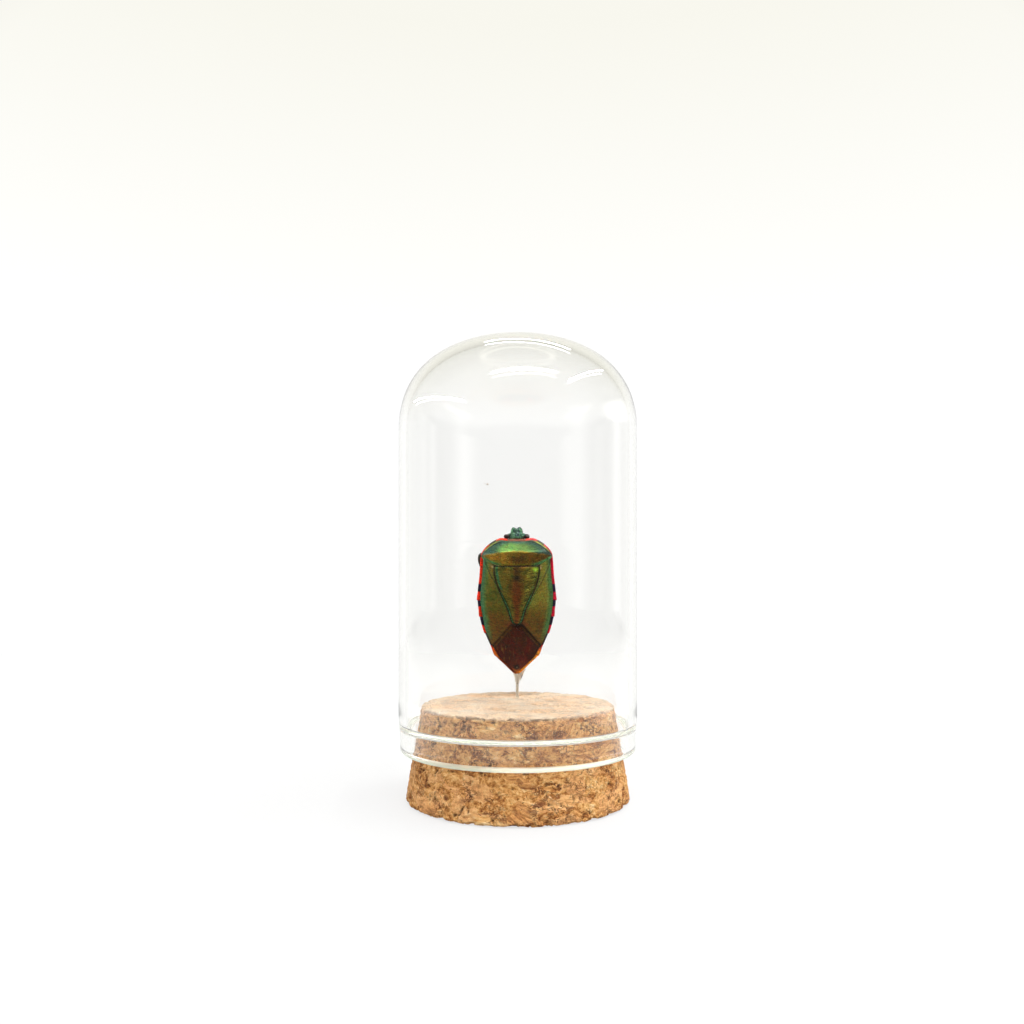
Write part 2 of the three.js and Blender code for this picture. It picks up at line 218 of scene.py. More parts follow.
def colour_steps(tree, value, steps):
    """A colour ramp through [place, colour] steps."""
    made = add_node(tree, "ShaderNodeValToRGB", {"Fac": value})
    stops = made.color_ramp.elements
    while len(stops) < len(steps):
        stops.new(0.5)
    for stop, (place, colour) in zip(stops, steps):
        stop.position = place
        stop.color = (*colour, 1.0)
    return made.outputs["Color"]


def grain(tree, where, scale, detail=4.0, roughness=0.55):
    made = add_node(
        tree, "ShaderNodeTexNoise",
        {"Vector": where, "Scale": scale, "Detail": detail, "Roughness": roughness},
    )
    return made.outputs["Fac"]


def granules(tree, where):
    """A plain colour for each cell, about one unit across."""
    return add_node(tree, "ShaderNodeTexVoronoi", {"Vector": where, "Scale": 1.0}).outputs["Color"]


def bumped(tree, height, distance, strength=1.0, under=None):
    """A bumpy normal, laid over another one where under is given."""
    inputs = {"Height": height, "Distance": distance, "Strength": strength}
    if under:
        inputs["Normal"] = under
    return add_node(tree, "ShaderNodeBump", inputs).outputs["Normal"]


def new_material(name):
    """A material, its node tree, its Principled shader and its Object coordinates."""
    material = bpy.data.materials.new(name)
    material.use_nodes = True
    tree = material.node_tree
    shader = tree.nodes["Principled BSDF"]
    where = add_node(tree, "ShaderNodeTexCoord").outputs["Object"]
    return material, tree, shader, where


# Each granule has its own tone and its own run of streaks; crumbs, bark, cracks and holes lie over them.
cork_finish, tree, shader, where = new_material("pressed_cork")
warp = add_node(tree, "ShaderNodeTexNoise", {"Vector": where, "Scale": 260, "Detail": 4, "Roughness": 0.6})
shove = vector_of(tree, "SUBTRACT", warp.outputs["Color"], (0.5, 0.5, 0.5))
bent = vector_of(tree, "ADD", where, vector_of(tree, "SCALE", shove, 0.0045))
squat = stretched(tree, bent, (250, 250, 620))
cells = granules(tree, squat)
crumbs = granules(tree, stretched(tree, bent, (800, 800, 1500)))
lean = vector_of(tree, "SUBTRACT", cells, (0.5, 0.5, 0.5))
fibre = vector_of(tree, "NORMALIZE", vector_of(tree, "MULTIPLY", lean, (2.0, 2.0, 0.6)))
run = vector_of(tree, "SCALE", fibre, vector_of(tree, "DOT_PRODUCT", where, fibre))
drawn_out = vector_of(tree, "SUBTRACT", where, vector_of(tree, "SCALE", run, 0.84))
shade = parts_of(tree, cells)
bits = parts_of(tree, crumbs)
streaks = grain(tree, drawn_out, 1750, 7.0, 0.68)
mottle = grain(tree, squat, 1.6, 5.0, 0.65)
level = math_of(tree, "MULTIPLY_ADD", shade["X"], 0.2, 0.13)
level = math_of(tree, "MULTIPLY_ADD", bits["X"], 0.14, level)
level = math_of(tree, "MULTIPLY_ADD", mottle, 0.22, level)
level = math_of(tree, "ADD", level, swing(tree, streaks, 1.75))
colour = colour_steps(
    tree, level,
    [
        (0.08, (0.17, 0.05, 0.014)),
        (0.27, (0.49, 0.19, 0.048)),
        (0.42, (0.72, 0.35, 0.108)),
        (0.58, (0.86, 0.5, 0.185)),
        (0.85, (0.99, 0.74, 0.42)),
    ],
)
colour = tinted(tree, colour, (0.86, 0.45, 0.195), remapped(tree, shade["Y"], 0.42, 0.7, 0.0, 0.4))
bark = math_of(tree, "MULTIPLY_ADD", mottle, 0.5, bits["Y"])
colour = tinted(tree, colour, (0.2, 0.06, 0.025), remapped(tree, bark, 1.17, 1.24, 0.0, 0.65))
curls = grain(tree, stretched(tree, bent, (430, 430, 950)), 1.0, 5.0, 0.62)
from_curl = math_of(tree, "ABSOLUTE", swing(tree, curls, 1.0))
cracked = remapped(tree, grain(tree, where, 300, 2.0), 0.46, 0.6)
thin_cracks = math_of(tree, "MULTIPLY", remapped(tree, from_curl, 0.01, 0.04, 0.9, 0.0), cracked)
colour = tinted(tree, colour, (0.12, 0.034, 0.014), thin_cracks)
holes = grain(tree, stretched(tree, bent, (520, 520, 760)), 1.0, 4.0, 0.6)
colour = tinted(tree, colour, (0.085, 0.026, 0.012), remapped(tree, holes, 0.675, 0.71, 0.0, 0.9))
dots = grain(tree, where, 1500, 3.0, 0.7)
colour = tinted(tree, colour, (0.12, 0.045, 0.018), remapped(tree, dots, 0.62, 0.69, 0.0, 0.7))
pit = attribute(tree, "pit")
colour = tinted(tree, colour, (0.07, 0.026, 0.012), remapped(tree, pit, 0.15, 0.7, 0.0, 0.85))
# The top is paler: partly sanding dust, partly painted light from above.
sanded_and_lit_top = remapped(tree, parts_of(tree, where)["Z"], (CORK_HEIGHT - 0.8) * MM, (CORK_HEIGHT - 0.3) * MM)
patchy = remapped(tree, grain(tree, where, 220, 3.0), 0.35, 0.65, 0.4, 0.8)
colour = tinted(tree, colour, (0.755, 0.655, 0.53), math_of(tree, "MULTIPLY", sanded_and_lit_top, patchy))
fine = bumped(tree, grain(tree, where, 2600, 5.0, 0.7), 0.0003, 0.9)
set_inputs(tree, shader, {
    "Base Color": colour,
    "Roughness": remapped(tree, streaks, 0.3, 0.7, 0.95, 0.72),
    "Specular IOR Level": 0.2,
    "Normal": bumped(tree, streaks, 0.0008, 1.0, fine),
})
place_piece(cork, "cork_plug", cork_finish, ["cork_base"])

# ---------------------------------------------------------------------------------------------
# Glass dome. One blown tube with a round closed crown, and a thicker pressed lip whose inner shoulder
# catches the light as a bright ring. It rests on the cork's taper and lifts off.
# ---------------------------------------------------------------------------------------------
DOME_RADIUS = 20.0
DOME_WALL = 1.35
DOME_TOP = 77.1
CROWN_HEIGHT = 16.0
CROWN_POWER = 2.35
RIM_Z = 8.3
LIP_HEIGHT = 3.85
SHOULDER = 0.9
TAPER = 2.4
LIP_OUTER = 19.75
LIP_INNER = 17.8
LIP_ROUND_IN = 1.1
LIP_ROUND_OUT = 0.8
WORN_HEIGHT = 0.64
GLASS_DEPTH = 13.0
STRAIGHT_TOP = 60
CROWN_STEPS = 72
DOME_AROUND = 320


def crown(radius, top, height, count):
    """The [radius, height] points of the closed round end, from its top down."""
    places = []
    for i in range(count + 1):
        angle = math.radians(90 * i / count)
        out = math.sin(angle) ** (2 / CROWN_POWER) if i else 0.0
        up = math.cos(angle) ** (2 / CROWN_POWER) if i < count else 0.0
        places.append((radius * out, top - height + height * up))
    return places


def eased(first, last, count):
    """An S-shaped run between two [radius, height] points."""
    return [
        (mix(first[0], last[0], ramp(i, 0, count)), mix(first[1], last[1], i / count))
        for i in range(count)
    ]


inner_radius = DOME_RADIUS - DOME_WALL
lip_top = RIM_Z + LIP_HEIGHT
shoulder_top = lip_top + SHOULDER
glass_profile = (
    crown(inner_radius, DOME_TOP - DOME_WALL, CROWN_HEIGHT - DOME_WALL, CROWN_STEPS)
    + between((inner_radius, STRAIGHT_TOP), (inner_radius, shoulder_top + 0.2), 12)
    + [(inner_radius, shoulder_top + 0.2), (inner_radius - 0.02, shoulder_top + 0.05)]
    + between((inner_radius - 0.09, shoulder_top - 0.09), (LIP_INNER + 0.09, lip_top + 0.09), 6)
    + [(LIP_INNER + 0.09, lip_top + 0.09), (LIP_INNER + 0.02, lip_top - 0.05), (LIP_INNER, lip_top - 0.2)]
    + rounding(LIP_INNER + LIP_ROUND_IN, RIM_Z + LIP_ROUND_IN, LIP_ROUND_IN, -180, -90, 9)[:-1]
    + rounding(LIP_OUTER - LIP_ROUND_OUT, RIM_Z + LIP_ROUND_OUT, LIP_ROUND_OUT, -90, 0, 8)[:-1]
    + between((LIP_OUTER, RIM_Z + LIP_ROUND_OUT), (LIP_OUTER, lip_top - 1.6), 3)
    + eased((LIP_OUTER, lip_top - 1.6), (DOME_RADIUS, lip_top + TAPER), 14)
    + between((DOME_RADIUS, lip_top + TAPER), (DOME_RADIUS, STRAIGHT_TOP), 12)
    + crown(DOME_RADIUS, DOME_TOP, CROWN_HEIGHT, CROWN_STEPS)[::-1]
)
dome = turned(glass_profile, DOME_AROUND)
for face in dome.faces:
    middle = face.calc_center_median()
    inside = math.hypot(middle.x, middle.y) < inner_radius
    ledge = lip_top - 0.02 < middle.z < lip_top + 0.17
    brow = shoulder_top - 0.14 < middle.z < shoulder_top + 0.08
    foot = middle.z < RIM_Z + WORN_HEIGHT
    face.material_index = 1 if inside and (ledge or brow) else 2 if foot else 0


def glass_finish(name, clearness, roughness, tone=(1, 1, 1)):
    """Clear or frosted glass; the lamps' light goes straight through it to what stands inside."""
    glass, tree, shader, _ = new_material(name)
    set_inputs(tree, shader, {
        "Base Color": tone, "IOR": 1.47, "Transmission Weight": clearness, "Roughness": roughness,
    })
    ray = add_node(tree, "ShaderNodeLightPath").outputs
    lets_light_in = math_of(tree, "MAXIMUM", ray["Is Shadow Ray"], ray["Is Diffuse Ray"])
    depth = math_of(tree, "MULTIPLY_ADD", lets_light_in, -GLASS_DEPTH, GLASS_DEPTH)
    tint = add_node(tree, "ShaderNodeVolumeAbsorption", {"Color": (0.8, 0.82, 0.3), "Density": depth})
    through_it = add_node(tree, "ShaderNodeBsdfTransparent", {"Color": (0.9, 0.9, 0.89)})
    both = add_node(
        tree, "ShaderNodeMixShader", {0: lets_light_in, 1: shader.outputs[0], 2: through_it.outputs[0]}
    )
    result = tree.nodes["Material Output"]
    set_inputs(tree, result, {"Surface": both.outputs[0], "Volume": tint.outputs[0]})
    return glass


dome_piece = place_piece(
    dome, "glass_dome_clear", glass_finish("clear_glass", 1.0, 0.0), ["glass_dome"]
)
dome_piece.data.materials.append(glass_finish("frosted_glass", 0.4, 0.5))
dome_piece.data.materials.append(glass_finish("worn_glass", 0.8, 0.3, (0.9, 0.98, 0.84)))

# ---------------------------------------------------------------------------------------------
# Speck. Two crumbs of cork dust, rubbed off the base by the glass. They are so light that they cling
# to the inside of the glass, above the bug.
# ---------------------------------------------------------------------------------------------
SPECK = Vector((-4.35, -18.05, 50.75))

dust = bmesh.new()
for offset, size in (((0, 0, 0), 0.15), ((-0.45, 0, 0.1), 0.07)):
    crumb = bmesh.ops.create_icosphere(dust, subdivisions=3, radius=size)["verts"]
    for v in crumb:
        v.co *= 1 + 0.5 * noise.noise(v.co * 9)
    bmesh.ops.scale(dust, vec=(1, 0.6, 0.75), verts=crumb)
    bmesh.ops.translate(dust, vec=SPECK + Vector(offset), verts=crumb)
place_piece(dust, "cork_dust", cork_finish, [])

# ---------------------------------------------------------------------------------------------
# Pin. A straight length of bright steel wire pushed into the cork behind its middle.
# It stands up to the underside of the bug's tail.
# ---------------------------------------------------------------------------------------------
PIN_RADIUS = 0.28
PIN_X = -0.1
PIN_Y = 8.3
PIN_FOOT = 6.0
PIN_TOP = 23.5

pin = turned(
    [(0, PIN_FOOT), (PIN_RADIUS * 0.5, PIN_FOOT + 0.6), (PIN_RADIUS, PIN_FOOT + 1.6)]
    + between((PIN_RADIUS, PIN_FOOT + 2), (PIN_RADIUS, PIN_TOP - 0.2), 30)
    + rounding(PIN_RADIUS - 0.08, PIN_TOP - 0.08, 0.08, 0, 90, 3)
    + [(0, PIN_TOP)],
    32,
)
bmesh.ops.translate(pin, vec=(PIN_X, PIN_Y, 0), verts=pin.verts)
steel, tree, shader, where = new_material("pin_steel")
draw_marks = grain(tree, stretched(tree, where, (9000, 9000, 300)), 1.0, 3.0)
set_inputs(tree, shader, {
    "Base Color": tinted(tree, (0.82, 0.8, 0.74), (0.5, 0.48, 0.43), remapped(tree, draw_marks, 0.35, 0.7)),
    "Metallic": 1.0,
    "Roughness": remapped(tree, draw_marks, 0.3, 0.7, 0.22, 0.38),
    "Normal": bumped(tree, draw_marks, 0.00002, 0.5),
})
place_piece(pin, "pin_wire", steel, ["pin"])

# ---------------------------------------------------------------------------------------------
# Bug, abdomen and thorax. A dry shield bug stands head up with its back to the front.
# The belly is ribbed across, and its sharp rim shows as a banded red edge beside the wings.
# ---------------------------------------------------------------------------------------------
BUG_X = -0.2
BUG_Y = 7.0
BUG_TAIL_Z = 20.2
EDGE_Z = 0.35
EDGE_WIDTH = 0.55
EDGE_TOOTH = 0.16
RIB_ENDS = [0, 3.2, 7.2, 10.1, 13, 15.9, 21.5]
RIBS_FRONT = 16
RING_LENGTH = 2.75
THORAX_REAR = 15.2
SHIELD_HALF = 6.4
BELLY_EDGE_Z = -0.12
UNDER_WINGS = 0.85


def through(pairs):
    """A smooth line through [place, value] pairs, read at any place."""
    def slope(i, j):
        return (pairs[j][1] - pairs[i][1]) / (pairs[j][0] - pairs[i][0])

    def read(place):
        if place <= pairs[0][0]:
            return pairs[0][1]
        if place >= pairs[-1][0]:
            return pairs[-1][1]
        j = next(k for k, pair in enumerate(pairs) if pair[0] > place)
        i = j - 1
        span = pairs[j][0] - pairs[i][0]
        before = slope(max(i - 1, 0), j) * span
        after = slope(i, min(j + 1, len(pairs) - 1)) * span
        t = (place - pairs[i][0]) / span
        return (
            (2 * t**3 - 3 * t**2 + 1) * pairs[i][1]
            + (t**3 - 2 * t**2 + t) * before
            + (3 * t**2 - 2 * t**3) * pairs[j][1]
            + (t**3 - t**2) * after
        )

    return read


body_half = through([
    (0, 0.3), (0.5, 0.95), (1.6, 2.1), (3.2, 3.75), (4.8, 4.55), (6.9, 5.5), (9, 6.35),
    (13.3, 7), (17.5, 6.65), (20.8, 6.4), (21.6, 6.1), (22.9, 5.05), (23.9, 3.2),
])
back_height = through([(0, 0.55), (3, 1.15), (6, 1.7), (8.9, 2.2), (13, 2.75), (17, 3.05), (19, 3.1)])
belly_depth = through([
    (0, 0.35), (2, 1.1), (5, 2), (9, 2.85), (13, 3.15), (17, 3.15), (20, 2.95), (22, 2.3), (24, 1.3),
])
shield_rear = through([(2.8, 18.92), (3.9, 19.18), (6.1, 20.36), (6.4, 20.75)])


def bulge(x, half, squareness, fullness):
    """1 on the middle line, falling to 0 at the half width."""
    return (1 - min(abs(x) / half, 1) ** squareness) ** fullness


def back_top(x, y):
    """The arched surface of the bug's back, before any plate adds to it."""
    return EDGE_Z + (back_height(y) - EDGE_Z) * bulge(x, body_half(y), 2.6, 0.8)


def rib_share(y):
    """0 at a rib's hind corner, rising to 1 at its front."""
    k = next(k for k, end in enumerate(RIB_ENDS) if end > y)
    return (y - RIB_ENDS[k - 1]) / (RIB_ENDS[k] - RIB_ENDS[k - 1])


def rim_half(y):
    """Half width of the body with the small tooth at the hind corner of each rib."""
    tooth = EDGE_TOOTH * max(0, 1 - 2.2 * rib_share(y)) if 3.2 <= y < 15.9 else 0
    return body_half(y) + tooth


def wing_edge(y):
    """Half width at the wings' outer edge, inside the red rim."""
    width = EDGE_WIDTH - 0.27 * ramp(y, 4.2, 5.2) * (1 - ramp(y, 7, 9.5))
    return max(body_half(y) - width, 0.25)


def belly_under(x, y):
    """The ribbed underside, with a low keel along its middle."""
    rib = 0.06 * math.cos(math.tau * (y + 0.05 * x * x) / RING_LENGTH) if y < RIBS_FRONT else 0
    keel = 0.16 * bell(x, 0, 0.7)
    return BELLY_EDGE_Z - (belly_depth(y) + BELLY_EDGE_Z - keel + rib) * bulge(x, body_half(y), 2.2, 0.7)


def body_top(x, y):
    under_wing = min(max(back_top(x, y) - UNDER_WINGS, -0.02), 1.6)
    share = ramp(abs(x), wing_edge(y) - 0.15, wing_edge(y) + 0.12)
    swell = 0.07 * math.sin(math.pi * min(max((abs(x) - wing_edge(y)) / EDGE_WIDTH, 0), 1))
    notch = 0.09 * bell(min(rib_share(y), 1 - rib_share(y)), 0, 0.03) if y < RIBS_FRONT else 0
    return mix(under_wing, EDGE_Z + swell - notch, share)


def bug_plate(across, along, plan, top, bottom, edge):
    """A curved plate between two surfaces, in the bug's frame.

    In it x runs across, y to the head and z out of the back.
    """
    bm = bmesh.new()
    bmesh.ops.create_grid(bm, x_segments=across, y_segments=along, size=1)
    for v in bm.verts:
        x, y = plan(v.co.x, v.co.y)
        v.co = (x, y, top(x, y))
    border = [e for e in bm.edges if e.is_boundary]
    grown = bmesh.ops.extrude_face_region(bm, geom=bm.faces[:], use_keep_orig=True)
    for v in grown["geom"]:
        if isinstance(v, bmesh.types.BMVert):
            v.co.z = bottom(v.co.x, v.co.y)
    bmesh.ops.recalc_face_normals(bm, faces=bm.faces)
    bmesh.ops.bevel(
        bm, geom=border, offset=edge, segments=2, profile=0.5, affect="EDGES",
        material=-1, clamp_overlap=True,
    )
    return bm


def place_on_bug(bm, name, material, nodes, masks=None):
    """Writes the masks, which are rules of the bug's x, y and z, and stands the piece up in the dome."""
    for mask, rule in (masks or {}).items():
        layer = bm.verts.layers.float.new(mask)
        for v in bm.verts:
            v[layer] = rule(v.co.x, v.co.y, v.co.z)
    for v in bm.verts:
        x, y, z = v.co
        v.co = (x + BUG_X, BUG_Y - z, y + BUG_TAIL_Z)
    return place_piece(bm, name, material, nodes)


# The shell's fine surface: round pits, ripples that run outward and up from the middle, and flecks of
# warmer and greener sheen. Its tone is painted light and shade: lighter on the ripples' crests and in
# some flecks, darker between them.
pitted = bpy.data.node_groups.new("pitted_shell", "ShaderNodeTree")
for direction, label, kind in (
    ("INPUT", "Where", "Vector"), ("INPUT", "Pit scale", "Float"), ("INPUT", "Ripple", "Float"),
    ("OUTPUT", "Height", "Float"), ("OUTPUT", "Pits", "Float"), ("OUTPUT", "Shimmer", "Float"),
    ("OUTPUT", "Tone", "Color"),
):
    pitted.interface.new_socket(label, in_out=direction, socket_type="NodeSocket" + kind)
given = add_node(pitted, "NodeGroupInput").outputs
inputs = {"Vector": given["Where"], "Scale": given["Pit scale"], "Randomness": 0.85}
dimples = add_node(pitted, "ShaderNodeTexVoronoi", inputs).outputs["Distance"]
pits = remapped(pitted, dimples, 0.14, 0.36, 1.0, 0.0)
spread = parts_of(pitted, given["Where"])
aside = math_of(pitted, "ABSOLUTE", spread["X"])
rise = math_of(pitted, "MULTIPLY_ADD", aside, -0.3, spread["Z"])
swept = add_node(pitted, "ShaderNodeCombineXYZ", {"X": spread["X"], "Y": spread["Y"], "Z": rise}).outputs[0]
ripples = grain(pitted, stretched(pitted, swept, (1000, 1000, 6400)), 1.0, 3.0, 0.6)
# Painted light and shade: the ripples' crests and some flecks brighten the colour, the hollows darken it.
lines = math_of(pitted, "MULTIPLY", swing(pitted, ripples, 3.6), given["Ripple"])
flecks = swing(pitted, grain(pitted, given["Where"], 3600, 4.0, 0.7), 1.9)
light = math_of(pitted, "ADD", math_of(pitted, "ADD", lines, flecks), 1.0)
light = math_of(pitted, "MAXIMUM", light, 0.2)
warmth = remapped(pitted, grain(pitted, given["Where"], 2200, 3.0, 0.6), 0.36, 0.64)
sheen = tinted(pitted, (0.84, 0.62, 0.55), (0.58, 0.74, 0.7), warmth)
relief = math_of(pitted, "MULTIPLY", ripples, given["Ripple"])
relief = math_of(pitted, "MULTIPLY_ADD", pits, -0.7, relief)
tone = vector_of(pitted, "SCALE", sheen, light)
add_node(pitted, "NodeGroupOutput", {"Height": relief, "Pits": pits, "Shimmer": ripples, "Tone": tone})


def shell_skin(tree, where, pit_scale, ripple):
    """The fine surface's outputs, with its relief as a normal and how far it is turned from the eye."""
    inputs = {"Where": where, "Pit scale": pit_scale, "Ripple": ripple}
    made = add_node(tree, "ShaderNodeGroup", inputs, node_tree=pitted)
    skin = dict(made.outputs.items())
    skin["Relief"] = bumped(tree, skin["Height"], 0.00008, 0.9)
    facing = add_node(tree, "ShaderNodeLayerWeight", {"Blend": 0.5, "Normal": skin["Relief"]})
    skin["Tilt"] = facing.outputs["Facing"]
    return skin


def shell_finish(tree, shader, colour, skin, metal=0.88, rough=0.34, gloss=0.22):
    """Finishes a shell material: its colour takes the ripples' and flecks' painted light and shade, and
    darkens in the pits.
    """
    colour = vector_of(tree, "MULTIPLY", colour, skin["Tone"])
    in_pits = math_of(tree, "MULTIPLY", skin["Pits"], 0.6)
    set_inputs(tree, shader, {
        "Base Color": tinted(tree, colour, (0.012, 0.01, 0.008), in_pits),
        "Metallic": metal,
        "Roughness": remapped(tree, skin["Shimmer"], 0.3, 0.7, rough + 0.08, rough - 0.06),
        "Specular IOR Level": gloss,
        "Coat Weight": 0.05,
        "Coat Roughness": 0.15,
        "Normal": skin["Relief"],
    })


belly_finish, tree, shader, where = new_material("belly_shell")
skin = shell_skin(tree, where, 2600, 0.5)
wobble = grain(tree, where, 900, 3.0)
rim = attribute(tree, "rim")
right_side = attribute(tree, "right_side")
red = tinted(tree, (0.85, 0.035, 0.008), (0.6, 0.008, 0.035), right_side)
amber = tinted(tree, (0.6, 0.15, 0.012), (0.8, 0.28, 0.02), right_side)
red = tinted(tree, red, amber, attribute(tree, "tail"))
red = tinted(tree, red, (0.13, 0.015, 0.006), attribute(tree, "dark_tail"))
band = math_of(tree, "ADD", attribute(tree, "dark_band"), swing(tree, wobble, 0.5))
edge_colour = tinted(tree, red, (0.016, 0.006, 0.03), remapped(tree, band, 0.42, 0.58))
brown = tinted(tree, (0.13, 0.07, 0.03), (0.075, 0.085, 0.04), remapped(tree, wobble, 0.4, 0.65))
brown = tinted(tree, brown, (0.02, 0.018, 0.014), attribute(tree, "suture"))
colour = tinted(tree, brown, edge_colour, rim)
colour = tinted(tree, colour, (0.03, 0.02, 0.012), attribute(tree, "under_wing"))
colour = vector_of(tree, "SCALE", colour, 1.45)
shell_finish(tree, shader, colour, skin, remapped(tree, rim, 0.0, 1.0, 0.4, 0.08), 0.4, 0.06)


def rim_mask(x, y, z):
    inside = max(wing_edge(y) - 0.4, wing_edge(y) - 0.1 - 0.5 * (z < 0))
    return ramp(abs(x), inside - 0.25, inside + 0.05)


def dark_band(x, y, z):
    if y > RIBS_FRONT or y < 3.2:
        return 0.0
    start = {3.2: 0.48, 7.2: 0.5, 10.1: 0.62, 13: 0.52}.get(
        max(end for end in RIB_ENDS if end <= y), 0.5
    )
    return ramp(rib_share(y), start - 0.08, start + 0.08)


def suture(x, y, z):
    """The dark seams between the belly's rings."""
    seam = math.sin(math.pi * (y + 0.05 * x * x) / RING_LENGTH)
    return bell(seam, 0, 0.09) if z < 0 and y < RIBS_FRONT else 0.0


def under_wing(x, y, z):
    return 1 - ramp(abs(x), wing_edge(y) - 0.2, wing_edge(y)) if z > 0 and y > 1 else 0.0


belly_masks = {
    "rim": rim_mask,
    "right_side": lambda x, y, z: ramp(x, -0.5, 0.5),
    "tail": lambda x, y, z: 1 - ramp(y, 3.4, 5.2),
    "dark_tail": lambda x, y, z: (1 - ramp(y, 2.6, 3.1)) * (1 - ramp(x, -0.6, -0.1)) * 0.8,
    "dark_band": dark_band,
    "suture": suture,
    "under_wing": under_wing,
}


def abdomen_plan(u, v):
    y = (v + 1) / 2 * (THORAX_REAR + 0.02)
    return math.sin(u * math.pi / 2) * rim_half(y), y


abdomen = bug_plate(120, 190, abdomen_plan, body_top, belly_under, 0.04)
place_on_bug(abdomen, "bug_abdomen", belly_finish, ["abdomen"], belly_masks)


def thorax_plan(u, v):
    across = math.sin(u * math.pi / 2)
    y = mix(THORAX_REAR, shield_rear(abs(across) * SHIELD_HALF) + 0.05, (v + 1) / 2)
    return across * rim_half(y), y


thorax = bug_plate(110, 50, thorax_plan, body_top, belly_under, 0.04)
place_on_bug(thorax, "bug_thorax", belly_finish, ["thorax"], belly_masks)

# ---------------------------------------------------------------------------------------------
# Shield behind the head. One hard plate with the breast under it. It slopes down to the head from a
# crease that runs from corner to corner, and its front edge is a narrow red rim.
# ---------------------------------------------------------------------------------------------
shield_front = through([
    (1.3, 23.72), (2.5, 23.95), (3.3, 23.85), (4.4, 23.3), (5.7, 22.2), (6.2, 21.5), (6.4, 21),
])
shield_height = through([(19.1, 3.12), (20.6, 3.2), (21.6, 2.95), (22.7, 2.2), (24, 1.25)])


def crease(x):
    """Where the plate folds down toward the head."""
    return 21.62 - 0.8 * (abs(x) / SHIELD_HALF) ** 1.6


def shield_half(y):
    return (SHIELD_HALF if y < 21 else body_half(y)) + 0.06


def shield_top(x, y):
    """The arched plate with its fold, the lip at its rear and the gutter at its front."""
    half = shield_half(y)
    top = 0.3 + (shield_height(y) - 0.3) * bulge(x, half, 2.4, 0.75)
    fold = 0.1 * bell(y, crease(x), 0.55) * bulge(x, half, 4, 1)
    lip = 0.1 * bell(y, shield_rear(abs(x)) + 0.12, 0.16)
    gutter = 0.12 * bell(shield_front(abs(x)) - y, 0.5, 0.14) * ramp(abs(x), 1.4, 2.4)
    return top + fold - lip - gutter


def shield_plan(u, v):
    x = math.sin(u * math.pi / 2) * SHIELD_HALF
    share = (v + 1) / 2
    return x, mix(shield_rear(abs(x)), shield_front(abs(x)), share)


def breast_under(x, y):
    return -0.1 - (belly_depth(y) - 0.1) * bulge(x, shield_half(y), 2.2, 0.7)


shield_finish, tree, shader, where = new_material("shield_shell")
skin = shell_skin(tree, where, 3000, 0.7)
patches = grain(tree, where, 700)
swirl = swing(tree, patches, 1.1)
front_slope = math_of(tree, "ADD", attribute(tree, "slope"), swirl)
toward_sides = math_of(tree, "ADD", attribute(tree, "toward_sides"), swirl)
green = tinted(tree, (0.095, 0.21, 0.045), (0.036, 0.1, 0.075), remapped(tree, toward_sides, 0.1, 0.8))
bronze = tinted(tree, (0.34, 0.18, 0.018), (0.2, 0.125, 0.012), remapped(tree, patches, 0.4, 0.62))
colour = tinted(tree, bronze, green, remapped(tree, front_slope, 0.35, 0.8))
# Painted highlight: the belt along the crease, which faces the lamps above, is lit up in yellow-green.
glow = math_of(tree, "ADD", attribute(tree, "glow"), swirl)
colour = tinted(tree, colour, (0.13, 0.27, 0.07), remapped(tree, glow, 0.25, 0.95))
right_side = attribute(tree, "right_side")
# Painted light and shade: the left half is brightened and the right half darkened, to even out the right
# lamp's light and the head's shadow on the left.
colour = vector_of(tree, "SCALE", colour, remapped(tree, right_side, 0.0, 1.0, 1.35, 0.52))
dark_patch = attribute(tree, "dark_patch")
dark_patch = math_of(tree, "MULTIPLY_ADD", swirl, dark_patch, dark_patch)
colour = tinted(tree, colour, (0.035, 0.018, 0.006), math_of(tree, "MULTIPLY", dark_patch, 0.9))
colour = tinted(tree, colour, (0.06, 0.27, 0.095), attribute(tree, "green_hem", 0.95))
colour = tinted(tree, colour, (0.3, 0.3, 0.03), attribute(tree, "thin_hem", 0.7))
colour = tinted(tree, colour, (0.008, 0.007, 0.012), attribute(tree, "black_line"))
colour = tinted(tree, colour, (0.42, 0.5, 0.06), attribute(tree, "yellow_line"))
red = tinted(tree, (0.9, 0.045, 0.008), (0.62, 0.008, 0.025), remapped(tree, right_side, 0.9, 1.0))
red = tinted(tree, red, (0.016, 0.006, 0.02), attribute(tree, "black_band"))
red_rim = attribute(tree, "red_rim")
colour = tinted(tree, colour, red, red_rim)
breast = tinted(tree, (0.04, 0.07, 0.03), (0.13, 0.06, 0.02), remapped(tree, patches, 0.4, 0.65))
colour = tinted(tree, colour, breast, attribute(tree, "breast"))
shell_finish(tree, shader, colour, skin, remapped(tree, red_rim, 0.0, 1.0, 0.9, 0.08))


def from_front(x, y):
    return shield_front(abs(x)) - y


def from_rear(x, y):
    return y - shield_rear(abs(x))


def crease_highlight_mask(x, y, z):
    """The painted highlight along the crease, widest in the middle."""
    belt = bell(y - crease(x), 0.45 + 0.25 * (1 - ramp(abs(x), 0, 3)), 0.5)
    return belt * (1 - ramp(abs(x), 1.5, 5.6))


def black_line(x, y, z):
    front_line = bell(from_front(x, y), 0.78, 0.14) * ramp(abs(x), 2.2, 3.2) if z > 0 else 0.0
    return max(front_line, 1 - ramp(from_rear(x, y), 0.0, 0.1))


def yellow_line(x, y, z):
    ends = ramp(abs(x), 2.9, 3.7) * (1 - ramp(abs(x), 5.5, 6.0))
    return bell(from_front(x, y), 0.52, 0.1) * ends if z > 0 else 0.0


def red_rim_mask(x, y, z):
    front = (1 - ramp(from_front(x, y), 0.3, 0.42)) * (0.25 + 0.75 * ramp(abs(x), 1.4, 1.9))
    return front + (ramp(abs(x), 6.24, 6.34) if y < 21.6 else 0.0)


